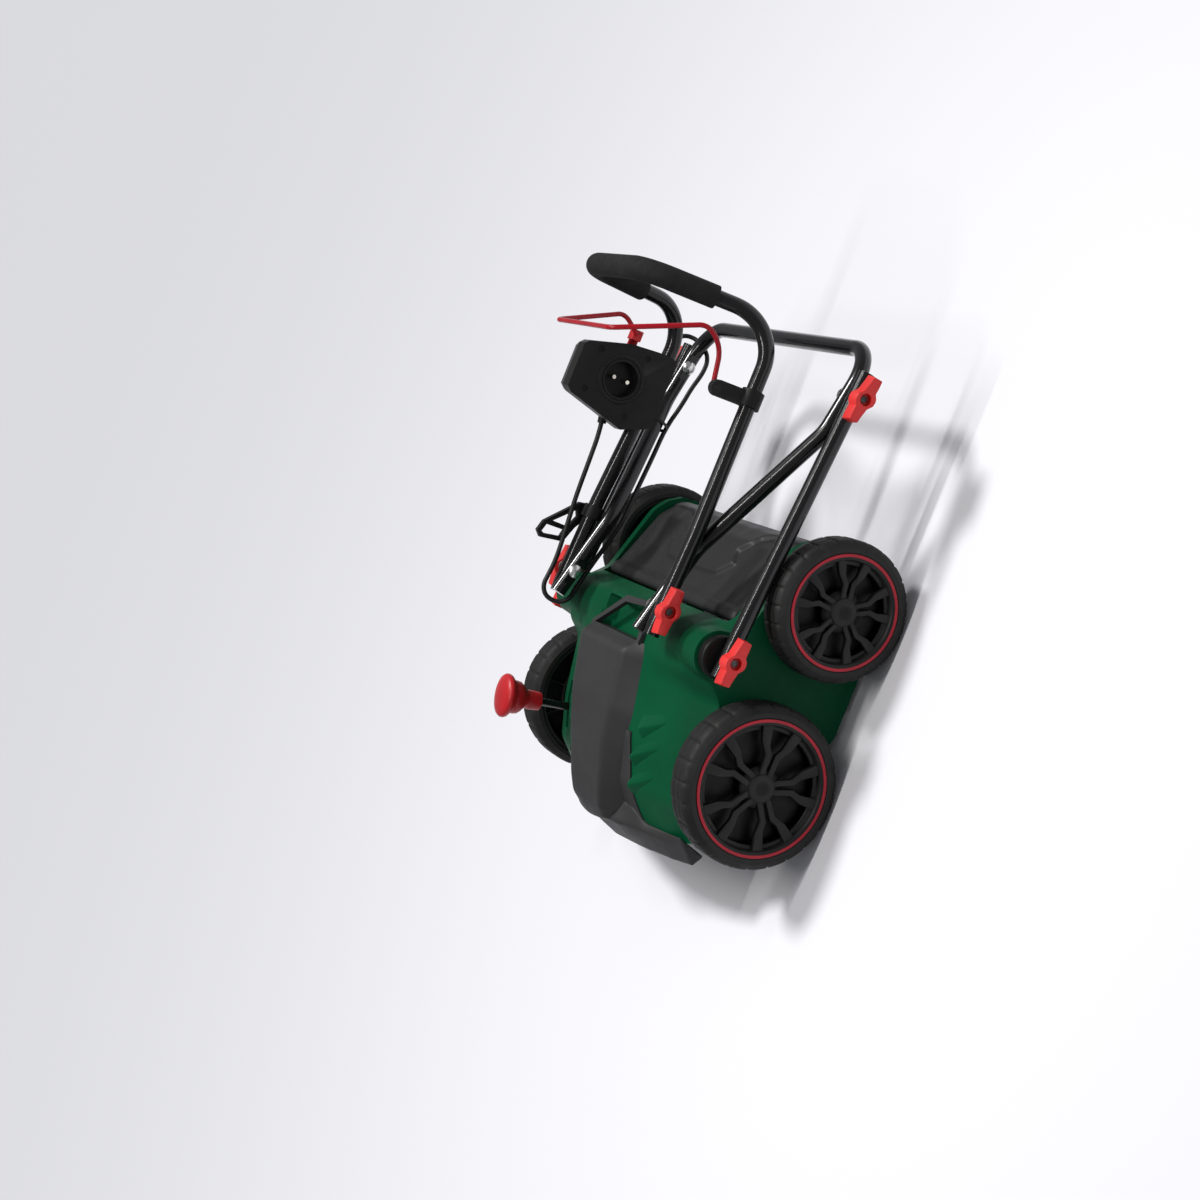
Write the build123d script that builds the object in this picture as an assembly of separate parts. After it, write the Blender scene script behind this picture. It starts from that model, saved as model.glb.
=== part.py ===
"""Walk-behind electric lawn scarifier with its three-part handle folded flat over the deck.

Working frame: millimetres, +X to the operator's left, +Y to the rear, +Z up, the front axle at y = 0
and the ground at z = 0. The last lines move everything so that the origin is the middle of the footprint.
"""
import math
import os

from build123d import *

# Fits
run_gap = 0.05
part_gap = 0.3
seat_gap = 0.1

# Deck
deck_half_width = 222.0
shoulder_x = deck_half_width - 42
crown_x = 80.0
deck_rear_y = 283.0
deck_wall = 3.0
edge_drop = 20.0
skirt_z = 6.0
motor_window = ((-64.0, -48.0), (64.0, 58.0))
cradle_ribs = ((-46.0, -42.0), (36.0, 40.0))
bonnet_wall = 2.5
surround_height = 6.0
bumper_half_width = deck_half_width - 51
bumper_front_y = -134.0
bumper_arm_height = 3.0
bumper_arm_low_z = 112.0

# Rear flap
flap_half_width = deck_half_width - 33
side_gap = 3.0
flap_opening_y = 158.0
hinge_center = (166.0, 160.0)
hinge_radius = 6.0
hinge_pin_radius = 3.0
flap_rear_y = deck_rear_y - side_gap
flap_line = [(166, 166), (flap_rear_y - 26, 136), (flap_rear_y - 7, 120), (flap_rear_y, 101),
             (flap_rear_y, 62)]

# Wheels and axles
front_wheel_radius = 95.0
rear_wheel_radius = 82.0
wheelbase = 216.0
tyre_width = 46.0
tyre_height = 15.0
tread_chamfer = 6.5
wheel_face_x = deck_half_width + 3 + tyre_width
rim_wall = 6.0
spoke_pairs = 5
axle_radius = 6.0
axle_end_x = wheel_face_x - 7
crank_pivot = (-40.0, front_wheel_radius + 5)
crank_span = (deck_half_width + 5.5, deck_half_width + 11.5)
crank_plate_radius = axle_radius + 4

# Handle pivots as (y, z)
lower_pivot = (118.6, 183.5)
elbow_pivot = (441.0, 157.7)
upper_pivot = (143.5, 237.0)

# Deck turrets and bosses that carry the handle
turret_radius = 29.0
turret_wall = 6.0
turret_start_x = deck_half_width - 57
boss_radius = 25.0
boss_edge = 3.0
boss_face_x = deck_half_width + 13.2

# Handle tubes
tube_radius = 9.5
tube_wall = 1.4
strut_x = boss_face_x + part_gap + tube_radius
frame_x = strut_x - 2 * tube_radius - part_gap
leg_x = 153.3
frame_tip_x = leg_x - 2 * tube_radius - part_gap
end_flat = 1.2
flat_half_length = 17.0
strut_flat_x = strut_x + tube_radius - end_flat
leg_flat_x = leg_x + tube_radius - end_flat
strut_front_overhang = 22.0
strut_rear_overhang = 30.0
cross_bar_run = (59.0, -10.7)
kink_run = (-46.0, 8.3)
inner_bend_y = 222.0
frame_tip_run = 32.0
leg_tip_run = 32.0
leg_knee_y = 235.0
top_bend = (131.0, 496.0, 222.0)
grip_corner = (87.0, 494.0, 385.0)
grip_start_z = 299.0
grip_radius = tube_radius + 4.3
main_bend_radius = 45.0
top_bend_radius = 55.0
frame_bend_radius = 40.0
knee_bend_radius = 120.0

# Pivot bolts and wing nuts
bolt_radius = 4.0
head_radius = 9.0
head_height = 5.0
washer_thickness = 1.5
nut_height = 16.0
nut_length = 57.0
nut_width = 27.0
nut_recess_radius = 5.2
nut_recess_start = 7.0

# Drive
roller_center = (108.0, 70.0)
roller_shaft_radius = 9.0
tine_radius = 57.0
tine_hub_radius = 15.0
tine_thickness = 3.0
tine_count = 15
tine_span = (57 - deck_half_width, deck_half_width - 37)
bearing_radius = 21.0
bearing_span = (deck_half_width - 17, deck_half_width - 5)
motor_center = (5.0, 140.0)
motor_radius = 52.0
motor_core_radius = 32.0
motor_span = (-52.0, 52.0)
motor_end_wall = 5.0
winding_room = 13.0
motor_shaft_radius = 6.0
fan_radius = 40.0
fan_width = 8.0
fan_blades = 9
belt_span = (32 - deck_half_width, 44 - deck_half_width)
belt_thickness = 3.0
motor_pulley_radius = 14.0
roller_pulley_radius = 36.0
flange_height = 2.0

# Depth lever
lever_x = -150.0
lever_radius = 5.0
lever_knee = (-18.0, 160.0)
lever_top = (-30.0, 232.0)
lever_slot = ((lever_x - 8, -46.0), (lever_x + 8, 14.0))
knob_radius = 28.0
knob_neck_radius = 12.0
knob_height = 56.0
knob_base_z = 206.0

# Switch box
box_face_x = -122.0
box_split_x = -141.0
box_back_x = -176.0
box_back_share = 0.9
box_back_middle = (384.0, 236.0)
box_wall = 2.5
box_screw_centers = [(409, 317), (357, 318), (344, 256), (421, 255)]
box_screw_radius = 2.0
box_screw_head_radius = 3.6
inlet_center = (384.2, 277.5)
inlet_radius = 25.0
inlet_depth = 17.0
inlet_wall = 3.0
pin_pitch = 19.0
pin_radius = 2.4
pin_root_radius = 1.9
button_center = (365.0, 300.0)
button_radius = 8.0
button_travel = 6.0

# Bail that the hand squeezes against the grip
bail_radius = 3.0
bail_pivot = (399.0, 270.0)
bail_x = 126.0
bail_cross_x = 87.0
bail_rise = [(47.0, 9.0), (62.0, 34.0), (18.0, 127.0)]
bail_slot = (246.0, 286.0)
bail_arm_x = -152.0
bail_arm_width = 8.0
bracket_y = 402.0
bracket_arm_width = 10.0

# Mains lead and its hook
cable_radius = 3.0
lead_off = tube_radius + cable_radius + part_gap
lead_hole = (18 - deck_half_width, 146.0)
hook_y = 220.0
hook_wall = 3.5
hook_x = (-leg_x - tube_radius - 8.2, -leg_x - tube_radius - 0.4)


# Outlines and simple solids

def outline_face(points, x):
    """Flat face of a (y, z) outline in the plane at x."""
    return Plane.YZ.offset(x) * make_face(Polyline(*points, close=True))


def prism_x(points, x_low, x_high):
    """Solid of a (y, z) outline between two x planes."""
    return extrude(outline_face(points, x_low), amount=x_high - x_low)


def rod_x(radius, x_low, x_high, center):
    """Round bar along X at a (y, z) centre."""
    return extrude(Plane.YZ.offset(x_low) * Pos(*center) * Circle(radius), amount=x_high - x_low)


def block(low, high):
    """Box between two corners."""
    size = [b - a for a, b in zip(low, high)]
    center = [(a + b) / 2 for a, b in zip(low, high)]
    return Pos(*center) * Box(*size)


def both_sides(shape):
    """The shape and its mirror image across the middle plane."""
    return [shape, mirror(shape, about=Plane.YZ)]


def unit(vector):
    length = math.hypot(*vector)
    return tuple(c / length for c in vector)


def offset_outline(points, distance):
    """Closed anticlockwise (y, z) outline moved outward by a distance, corners mitred."""
    moved = []
    count = len(points)
    for i, point in enumerate(points):
        before = unit([b - a for a, b in zip(points[i - 1], point)])
        after = unit([b - a for a, b in zip(point, points[(i + 1) % count])])
        normal_before = (before[1], -before[0])
        normal_after = (after[1], -after[0])
        share = 1 + normal_before[0] * normal_after[0] + normal_before[1] * normal_after[1]
        moved.append(tuple(
            p + distance * (a + b) / share for p, a, b in zip(point, normal_before, normal_after)
        ))
    return moved


def strip_outline(points, thickness):
    """Outline of a bent sheet whose upper side follows the (y, z) points."""
    lower = []
    last = len(points) - 1
    for i, point in enumerate(points):
        before = unit([b - a for a, b in zip(points[max(i - 1, 0)], points[max(i, 1)])])
        after = unit([b - a for a, b in zip(points[min(i, last - 1)], points[min(i + 1, last)])])
        normal_before = (before[1], -before[0])
        normal_after = (after[1], -after[0])
        share = 1 + normal_before[0] * normal_after[0] + normal_before[1] * normal_after[1]
        lower.append(tuple(
            p + thickness * (a + b) / share for p, a, b in zip(point, normal_before, normal_after)
        ))
    return points + lower[::-1]


def turned(points):
    """Solid of revolution about the X axis of an (x, radius) outline."""
    return revolve(make_face(Polyline(*points, close=True)), Axis.X)


def mirrored_route(half):
    """Route of a symmetrical bent tube from the points of its +X half, first point at the tip."""
    return [(-x, y, z) for x, y, z in half] + half[::-1]


def bent_tube(points, radii, radius, inner=0.0):
    """Round tube along straight runs joined by arcs."""
    path = FilletPolyline(*points, radius=radii)
    section = Circle(radius) - Circle(inner) if inner else Circle(radius)
    return sweep(Plane(path @ 0, z_dir=path % 0) * section, path=path)


def bar_between(start, end, radius):
    """Round bar from one point to another."""
    along = [b - a for a, b in zip(start, end)]
    return extrude(Plane(start, z_dir=along) * Circle(radius), amount=math.hypot(*along))


def point_on(start, end, share):
    return tuple(a + (b - a) * share for a, b in zip(start, end))


def point_at_y(route, y):
    """Point at y on a route whose points run towards +Y."""
    for start, end in zip(route, route[1:]):
        if y <= end[1]:
            break
    return point_on(start, end, (y - start[1]) / (end[1] - start[1]))


def rounds_hull(centers, radius):
    """Flat outline that wraps equal circles at (y, z) centres."""
    return make_hull([edge for center in centers for edge in (Pos(*center) * Circle(radius)).edges()])


# Deck shell

def deck_outlines():
    """Upper edges of the deck at the crown, the shoulder and the side, then the shared lower edge."""
    crown = [(140, 208), (98, 208), (-9, 184), (-64, 163), (-103, 128)]
    shoulder = [(140, 201), (88, 183), (-6, 166), (-60, 147), (-97, 118)]
    rear = [(deck_rear_y, 105), (deck_rear_y - 5, 123), (deck_rear_y - 27, 141), (163, 170)]
    side = [(y, z - edge_drop) for y, z in shoulder]
    side_rear = [(y, z - edge_drop / 2) for y, z in rear]
    lower = [(-96, 92), (-60, 74), (20, 45), (75, skirt_z), (160, skirt_z), (deck_rear_y - 35, 30),
             (deck_rear_y, 62)]
    return [
        (crown_x, rear + crown + lower),
        (shoulder_x, rear + shoulder + lower),
        (deck_half_width, side_rear + side + lower),
    ], len(lower)


def deck_body(grow, open_below=0.0):
    """Deck as a full solid, grown or shrunk, with its lower edge pulled down for the hollow."""
    outlines, lower_count = deck_outlines()
    half = []
    for x, points in outlines:
        moved = offset_outline(points, grow)
        if open_below:
            top = moved[:-lower_count]
            low = [(y, z - open_below) for y, z in moved[-lower_count:]]
            moved = top + low
        half.append((x + (grow if x > crown_x else 0), moved))
    sections = [outline_face(p, -x) for x, p in reversed(half)] + [outline_face(p, x) for x, p in half]
    return loft(sections, ruled=True)


def deck_cheek():
    """Inner wall beside the flap, on the +X side."""
    rear_y = deck_rear_y - 2
    points = [(150, 196), (150, 150), (178, 135), (190, 60), (rear_y, 66), (rear_y, 105), (rear_y - 5, 121),
              (rear_y - 26, 138), (163, 167)]
    x_low = flap_half_width + side_gap
    return prism_x(points, x_low, x_low + deck_wall)


def deck_cradle(x_low, x_high):
    """Rib that carries the motor from below."""
    points = [(-100, 130), (-100, 112), (-60, 80), (45, 80), (45, 118), (-48, 118)]
    motor_room = rod_x(motor_radius + part_gap, x_low - 1, x_high + 1, motor_center)
    return prism_x(points, x_low, x_high) - motor_room


def deck_shell():
    turret = rod_x(turret_radius, turret_start_x, deck_half_width, lower_pivot)
    hollow_span = (turret_start_x + deck_wall, deck_half_width - turret_wall)
    turret_hollow = rod_x(turret_radius - deck_wall, *hollow_span, lower_pivot)
    shell = deck_body(0) + both_sides(turret)
    shell -= deck_body(-deck_wall, open_below=30) + both_sides(turret_hollow)
    opening_x = flap_half_width + side_gap
    shell -= block((-opening_x, flap_opening_y, -50), (opening_x, 340, 260))
    bosses = [deck_cheek()]
    bosses.append(rod_x(bearing_radius + 5, bearing_span[0] - 2, deck_half_width - 1, roller_center))
    bosses.append(rod_x(axle_radius + 5, deck_half_width - 12, deck_half_width - 1, crank_pivot))
    for boss in bosses:
        shell += both_sides(boss)
    for x_low, x_high in cradle_ribs:
        shell += deck_cradle(x_low, x_high) & deck_body(-0.5)
    (x0, y0), (x1, y1) = motor_window
    shell -= block((x0, y0, 141), (x1, y1, 260))
    (x0, y0), (x1, y1) = lever_slot
    shell -= block((x0, y0, 130), (x1, y1, 260))
    shell -= Pos(lead_hole[0], lead_hole[1], 200) * Cylinder(cable_radius + part_gap, 60)
    through_x = deck_half_width + 5
    for radius, end_x, center in (
        (axle_radius, through_x, crank_pivot),
        (axle_radius, through_x, (wheelbase, rear_wheel_radius)),
        (bolt_radius, through_x, lower_pivot),
        (hinge_pin_radius, opening_x + 6, hinge_center),
        (bearing_radius, bearing_span[1] + seat_gap, roller_center),
    ):
        shell -= rod_x(radius + run_gap, -end_x, end_x, center)
    return shell


# Covers and trim on the deck

def bonnet_body(grow):
    """Motor cover as a full solid: trapezoids across X at places along Y."""
    stations = [
        (97, 88, 70, 190, 209),
        (82, 88, 66, 180, 224),
        (14, 88, 60, 165, 210),
        (-29, 80, 51, 150, 197),
        (-85, 66, 45, 125, 175),
        (-113, 56, 41, 116, 160),
        (-120, 52, 38, 114, 148),
    ]
    sections = []
    for i, (y, foot, top, z_low, z_high) in enumerate(stations):
        if i == 0:
            y += grow
        if i == len(stations) - 1:
            y -= grow
        foot += grow
        top += grow * 0.8
        corners = [(-foot, z_low - 20), (foot, z_low - 20), (foot, z_low), (top, z_high + grow),
                   (-top, z_high + grow), (-foot, z_low)]
        sections.append(Plane((0, y, 0), x_dir=(1, 0, 0), z_dir=(0, -1, 0)) * make_face(
            Polyline(*corners, close=True)))
    return loft(sections, ruled=True)


def motor_bonnet():
    shell = bonnet_body(0) - bonnet_body(-bonnet_wall)
    return max((shell - deck_body(seat_gap) - block((-99, -200, 0), (99, 200, 112))).solids(),
               key=lambda s: s.volume)


def intake_surround():
    """Raised rim round the air inlet behind the motor cover."""
    outer = [(-76, 90), (76, 94), (78, 104), (70, 147), (-4, 142), (-74, 98)]
    inner = [(-66, 80), (68, 80), (69, 100), (62, 138), (-1, 134), (-66, 96)]
    ring = extrude(make_face(Polyline(*outer, close=True)), amount=260)
    ring -= extrude(make_face(Polyline(*inner, close=True)), amount=260)
    rim = ring & (deck_body(surround_height) - deck_body(seat_gap))
    return max((rim - bonnet_body(part_gap)).solids(), key=lambda s: s.volume)


def front_bumper():
    """Curved bar across the nose with two arms that run up beside the motor cover."""
    profiles = [
        (-bumper_half_width, [(-121, 92), (-104, 80), (-90, 90), (-97, 107)]),
        (-100, [(-128, 104), (-98, 96), (-88, 116), (-106, 132)]),
        (-58, [(-131, 106), (-99, 97), (-88, 132), (-113, 149)]),
        (0, [(bumper_front_y, 108), (-100, 98), (-90, 138), (-116, 153)]),
    ]
    profiles += [(-x, p) for x, p in reversed(profiles[:-1])]
    bar = loft([outline_face(p, x) for x, p in profiles], ruled=True)
    arm_plan = Polyline((80, -4), (56, -130), (112, -130), (97, -85), (95, -50), (90, -4), close=True)
    arm = extrude(Plane.XY.offset(bumper_arm_low_z) * make_face(arm_plan), amount=120)
    band = deck_body(bumper_arm_height) - deck_body(seat_gap)
    bar -= deck_body(seat_gap)
    for side in both_sides(arm):
        bar += side & band
    bar -= bonnet_body(part_gap)
    return max(bar.solids(), key=lambda s: s.volume)


def handle_bosses():
    disc = rod_x(boss_radius, deck_half_width + seat_gap, boss_face_x, lower_pivot)
    disc = fillet(disc.edges().filter_by(GeomType.CIRCLE).sort_by(Axis.X)[-1:], boss_edge)
    disc -= rod_x(bolt_radius + run_gap, deck_half_width - 5, boss_face_x + 5, lower_pivot)
    return both_sides(disc)


# Pivot hardware

def bolt_and_washer(seat_x, washer_x, tip_x, center):
    """Domed carriage bolt pushed out along +X from its inner seat, with the washer under its nut."""
    sphere = (head_radius ** 2 + head_height ** 2) / (2 * head_height)
    dome = Pos(seat_x - seat_gap - head_height + sphere, *center) * Sphere(sphere)
    dome &= rod_x(2 * head_radius, seat_x - 2 * head_height, seat_x - seat_gap, center)
    bolt = dome + rod_x(bolt_radius, seat_x - seat_gap - 1, tip_x, center)
    washer_end = washer_x + washer_thickness
    washer = rod_x(head_radius, washer_x, washer_end, center) - rod_x(
        bolt_radius + run_gap, washer_x - 1, washer_end + 1, center)
    return [bolt, washer]


def washer_seat(flat_x):
    return flat_x + seat_gap


def nut_seat(flat_x):
    return washer_seat(flat_x) + washer_thickness + seat_gap


def wing_nut(flat_x, center, tilt):
    """Two-winged nut on the +X side, its long way turned from Y towards Z by tilt degrees."""
    low = nut_seat(flat_x)
    half_l, half_w = nut_length / 2, nut_width / 2
    outline = [(-half_l, -5.5), (-half_l + 4, -7.5), (-8, -half_w), (4, -half_w), (10, -half_w + 3),
               (half_l, -4), (half_l, 5.5), (half_l - 4, 7.5), (8, half_w), (-4, half_w), (-10, half_w - 3),
               (-half_l, 4)]
    place = Plane.YZ.offset(low) * Pos(*center) * Rot(0, 0, tilt)
    body = extrude(place * make_face(Polyline(*outline, close=True)), amount=nut_height)
    body -= rod_x(bolt_radius + run_gap, low - 1, low + nut_height + 1, center)
    body -= rod_x(nut_recess_radius, low + nut_recess_start, low + nut_height + 1, center)
    return body


def bolt_tip(flat_x):
    return nut_seat(flat_x) + nut_height - 5


def boss_bolts():
    seat = deck_half_width - turret_wall
    one = bolt_and_washer(seat, washer_seat(strut_flat_x), bolt_tip(strut_flat_x), lower_pivot)
    return [s for piece in one for s in both_sides(piece)]


def frame_bolts():
    elbow = bolt_and_washer(frame_x - tube_radius + end_flat, washer_seat(strut_flat_x),
                            bolt_tip(strut_flat_x), elbow_pivot)
    upper = bolt_and_washer(frame_tip_x - tube_radius + end_flat, washer_seat(leg_flat_x),
                            bolt_tip(leg_flat_x), upper_pivot)
    return [s for piece in elbow + upper for s in both_sides(piece)]


# Drive train

def motor_housing():
    x_low, x_high = motor_span
    inner_low, inner_high = x_low + motor_end_wall, x_high - motor_end_wall
    shell = rod_x(motor_radius, x_low, x_high, motor_center)
    shell -= rod_x(motor_core_radius, inner_low, inner_high, motor_center)
    for x in (inner_low, inner_high - winding_room):
        shell -= rod_x(motor_radius - motor_end_wall, x, x + winding_room, motor_center)
    return shell - rod_x(motor_shaft_radius + run_gap, x_low - 1, x_high + 1, motor_center)


def motor_shaft():
    x_low, x_high = motor_span
    shaft = rod_x(motor_shaft_radius, belt_span[0] - 2, x_high + fan_width + 3, motor_center)
    core_low = x_low + motor_end_wall + winding_room + 2
    core_high = x_high - motor_end_wall - winding_room - 2
    return shaft + rod_x(motor_core_radius - 2, core_low, core_high, motor_center)


def motor_fan():
    x_low = motor_span[1] + 2
    hub_radius = 2 * motor_shaft_radius
    fan = rod_x(hub_radius, x_low, x_low + fan_width, motor_center)
    fan += rod_x(fan_radius, x_low, x_low + 1.6, motor_center)
    blade = block((x_low + 1, hub_radius - 1, -1), (x_low + fan_width, fan_radius, 1))
    for i in range(fan_blades):
        fan += Pos(0, *motor_center) * Rot(i * 360 / fan_blades, 0, 0) * blade
    return fan - rod_x(motor_shaft_radius + run_gap, x_low - 1, x_low + 20, motor_center)


def pulley(radius, bore, center):
    x_low, x_high = belt_span
    body = rod_x(radius, x_low + 1, x_high - 1, center)
    body += rod_x(radius + flange_height, x_low - 0.5, x_low + 1, center)
    body += rod_x(radius + flange_height, x_high - 1, x_high + 0.5, center)
    return body - rod_x(bore + run_gap, x_low - 5, x_high + 5, center)


def belt_loop(extra):
    low = belt_span[0] + 1 + part_gap
    high = belt_span[1] - 1 - part_gap
    circles = [
        Pos(*motor_center) * Circle(motor_pulley_radius + extra),
        Pos(*roller_center) * Circle(roller_pulley_radius + extra),
    ]
    hull = make_hull([edge for circle in circles for edge in circle.edges()])
    return extrude(Plane.YZ.offset(low) * hull, amount=high - low)


def drive_belt():
    return belt_loop(part_gap + belt_thickness) - belt_loop(part_gap)


def roller_bearings():
    ring = rod_x(bearing_radius, bearing_span[0], bearing_span[1], roller_center)
    ring -= rod_x(roller_shaft_radius + run_gap, bearing_span[0] - 1, bearing_span[1] + 1, roller_center)
    return both_sides(ring)


def roller_shaft():
    end = bearing_span[1] - 1
    return rod_x(roller_shaft_radius, -end, end, roller_center)


def roller_tines():
    """Scarifier blades with spacer hubs, stacked along the shaft and turned from one to the next."""
    pitch = (tine_span[1] - tine_span[0]) / tine_count
    blade = [(-tine_radius, -2), (-tine_radius + 16, -8), (tine_radius - 16, -8), (tine_radius, 2),
             (tine_radius - 16, 8), (-tine_radius + 16, 8)]
    pieces = []
    for i in range(tine_count):
        x_low = tine_span[0] + i * pitch
        turn = Pos(*roller_center) * Rot(0, 0, 36 * i)
        hub = rod_x(tine_hub_radius, x_low, x_low + pitch - seat_gap, roller_center)
        plate = Plane.YZ.offset(x_low + pitch / 2) * turn * make_face(Polyline(*blade, close=True))
        hub += extrude(plate, amount=tine_thickness)
        pieces.append(hub - rod_x(roller_shaft_radius + run_gap, x_low - 1, x_low + pitch + 1, roller_center))
    return pieces


# Wheels and axles

def spoke(rim_radius, turn):
    """One kinked pair of spokes as flat (y, z) outlines set about the hub."""
    scale = rim_radius / 80
    half = [(14, 1.5), (38, 3.5), (46, 9), (75, 15), (74, 29), (48, 21), (35, 9.5), (14, 7)]
    arms = []
    for mirror_sign in (1, -1):
        points = [(y * scale, z * scale * mirror_sign) for y, z in half]
        arms.append(Rot(0, 0, turn) * make_face(Polyline(*points, close=True)))
    return arms


def wheel_rim(wheel_radius, center):
    """Hollow moulded rim on the +X side with a web, spokes, hub and centre cap."""
    outer = wheel_radius - tyre_height - seat_gap
    inner = outer - rim_wall
    face = wheel_face_x
    inner_x = face - tyre_width + 2
    bore = axle_radius + run_gap
    rim = turned([(inner_x, inner), (face - 2, inner), (face, inner + 2), (face, outer), (inner_x, outer)])
    web = (face - 25, face - 22)
    rim += turned([(web[0], bore + 4), (web[1], bore + 4), (web[1], inner + 1), (web[0], inner + 1)])
    rim += turned([(face - 35, bore), (axle_end_x + 0.5, bore), (axle_end_x + 0.5, 0), (face - 3, 0),
                   (face - 2, 18), (face - 5, 24), (face - 9, 24), (face - 9, 15), (face - 35, 15)])
    for i in range(spoke_pairs):
        for arm in spoke(outer, 360 / spoke_pairs * i + 18):
            rim += extrude(Plane.YZ.offset(face - 10) * arm, amount=6)
    return Pos(0, *center) * rim


def wheel_tyre(wheel_radius, center):
    inner_x = wheel_face_x - tyre_width
    seat = wheel_radius - tyre_height
    edge = wheel_radius - tread_chamfer
    tread = (inner_x + tread_chamfer, wheel_face_x - tread_chamfer)
    section = [(inner_x, seat), (wheel_face_x, seat), (wheel_face_x, edge), (tread[1], wheel_radius),
               (tread[0], wheel_radius), (inner_x, edge)]
    return Pos(0, *center) * turned(section)


def front_axle():
    """Cross rod with a crank plate and a stub at each end, turned by the depth lever."""
    axle = rod_x(axle_radius, -crank_span[1], crank_span[1], crank_pivot)
    center = (0, front_wheel_radius)
    plate = rounds_hull((crank_pivot, center), crank_plate_radius)
    arm = extrude(Plane.YZ.offset(crank_span[0]) * plate, amount=crank_span[1] - crank_span[0])
    arm += rod_x(axle_radius, crank_span[0], axle_end_x, center)
    for side in both_sides(arm):
        axle += side
    return axle


def rear_axle():
    return rod_x(axle_radius, -axle_end_x, axle_end_x, (wheelbase, rear_wheel_radius))


def depth_lever():
    collar = rod_x(axle_radius + 6, lever_x - 10, lever_x + 10, crank_pivot)
    foot = (lever_x, crank_pivot[0] + 4, crank_pivot[1] + 8)
    route = [foot, (lever_x, *lever_knee), (lever_x, *lever_top)]
    stem = bent_tube(route, 25, lever_radius)
    return collar + stem - rod_x(axle_radius + run_gap, lever_x - 20, lever_x + 20, crank_pivot)


def lever_knob():
    """Mushroom knob pushed over the end of the lever."""
    lean = math.degrees(math.atan2(lever_knee[0] - lever_top[0], lever_top[1] - lever_knee[1]))
    neck, cap, top = knob_neck_radius, knob_radius, knob_height
    profile = [(0, 0), (neck - 1, 0), (neck, 18), (neck + 7, 25), (neck + 9, 32), (cap - 1, top - 14),
               (cap, top - 8), (cap - 3, top - 4), (cap - 12, top - 1), (0, top)]
    knob = revolve(Plane.XZ * make_face(Polyline(*profile, close=True)), Axis.Z)
    share = (knob_base_z - lever_knee[1]) / (lever_top[1] - lever_knee[1])
    base = point_on((lever_x, *lever_knee), (lever_x, *lever_top), share)
    seat_depth = (lever_top[1] - knob_base_z) / math.cos(math.radians(lean)) + part_gap
    knob -= Pos(0, 0, seat_depth / 2 - 1) * Cylinder(lever_radius + run_gap, seat_depth + 2)
    return Pos(*base) * Rot(lean, 0, 0) * knob


# Rear flap

def rear_flap():
    sheet = prism_x(strip_outline(flap_line, deck_wall), -flap_half_width, flap_half_width)
    sheet += rod_x(hinge_radius, -flap_half_width, flap_half_width, hinge_center)
    return sheet - rod_x(hinge_pin_radius + run_gap, -flap_half_width - 1, flap_half_width + 1, hinge_center)


def flap_hinge_pin():
    end = flap_half_width + side_gap + deck_wall + 2
    return rod_x(hinge_pin_radius, -end, end, hinge_center)


# Handle tubes

def lower_strut():
    """Straight strut on the +X side from the deck boss to the elbow."""
    along = unit([b - a for a, b in zip(lower_pivot, elbow_pivot)])
    front = [p - d * strut_front_overhang for p, d in zip(lower_pivot, along)]
    rear = [p + d * strut_rear_overhang for p, d in zip(elbow_pivot, along)]
    ends = [(strut_x, *front), (strut_x, *rear)]
    tube = bar_between(*ends, tube_radius)
    tube -= bar_between(point_on(*ends, 0.13), point_on(*ends, 0.86), tube_radius - tube_wall)
    for pivot in (lower_pivot, elbow_pivot):
        tube -= rod_x(bolt_radius + run_gap, strut_x - 30, strut_x + 30, pivot)
        tube -= end_cut(strut_flat_x, strut_flat_x + tube_radius, pivot)
    return tube


def end_cut(x_low, x_high, pivot):
    """Room for the washer and nut, or for the bolt head, on the flattened side of a tube."""
    y, z = pivot
    half = flat_half_length
    return block((x_low, y - half, z - half), (x_high, y + half, z + half))


def frame_half_route():
    along = unit([b - a for a, b in zip(upper_pivot, elbow_pivot)])
    slope = along[1] / along[0]
    tip_y = upper_pivot[0] - frame_tip_run
    bend = (inner_bend_y, upper_pivot[1] + slope * (inner_bend_y - upper_pivot[0]))
    kink = [a + b for a, b in zip(elbow_pivot, kink_run)]
    corner = [a + b for a, b in zip(elbow_pivot, cross_bar_run)]
    return [
        (frame_tip_x, tip_y, upper_pivot[1] + slope * (tip_y - upper_pivot[0])),
        (frame_tip_x, *bend),
        (frame_x, *kink),
        (frame_x, *corner),
    ]


def middle_frame():
    """Bent tube with a wide cross bar, tapering in to the upper pivots."""
    half = frame_half_route()
    radii = [frame_bend_radius] * 2 + [main_bend_radius] * 2 + [frame_bend_radius] * 2
    tube = bent_tube(mirrored_route(half), radii, tube_radius, tube_radius - tube_wall)
    solid = tube_radius - tube_wall + 0.2
    tip_plug = bar_between(half[0], point_on(half[0], half[1], 0.55), solid)
    elbow_plug = bar_between(point_on(half[2], half[3], 0.28), point_on(half[2], half[3], 0.58), solid)
    for plug in (tip_plug, elbow_plug):
        for side in both_sides(plug):
            tube += side
    for x, pivot in ((frame_tip_x, upper_pivot), (frame_x, elbow_pivot)):
        seat = x - tube_radius + end_flat
        cut = rod_x(bolt_radius + run_gap, x - 30, x + 30, pivot) + end_cut(seat - tube_radius, seat, pivot)
        for side in both_sides(cut):
            tube -= side
    return tube


def handle_half_route():
    slope = (top_bend[2] - upper_pivot[1]) / (top_bend[1] - upper_pivot[0])
    tip_y = upper_pivot[0] - leg_tip_run
    return [
        (leg_x, tip_y, upper_pivot[1] - slope * leg_tip_run),
        (leg_x, leg_knee_y, upper_pivot[1] + slope * (leg_knee_y - upper_pivot[0])),
        top_bend,
        grip_corner,
    ]


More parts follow.
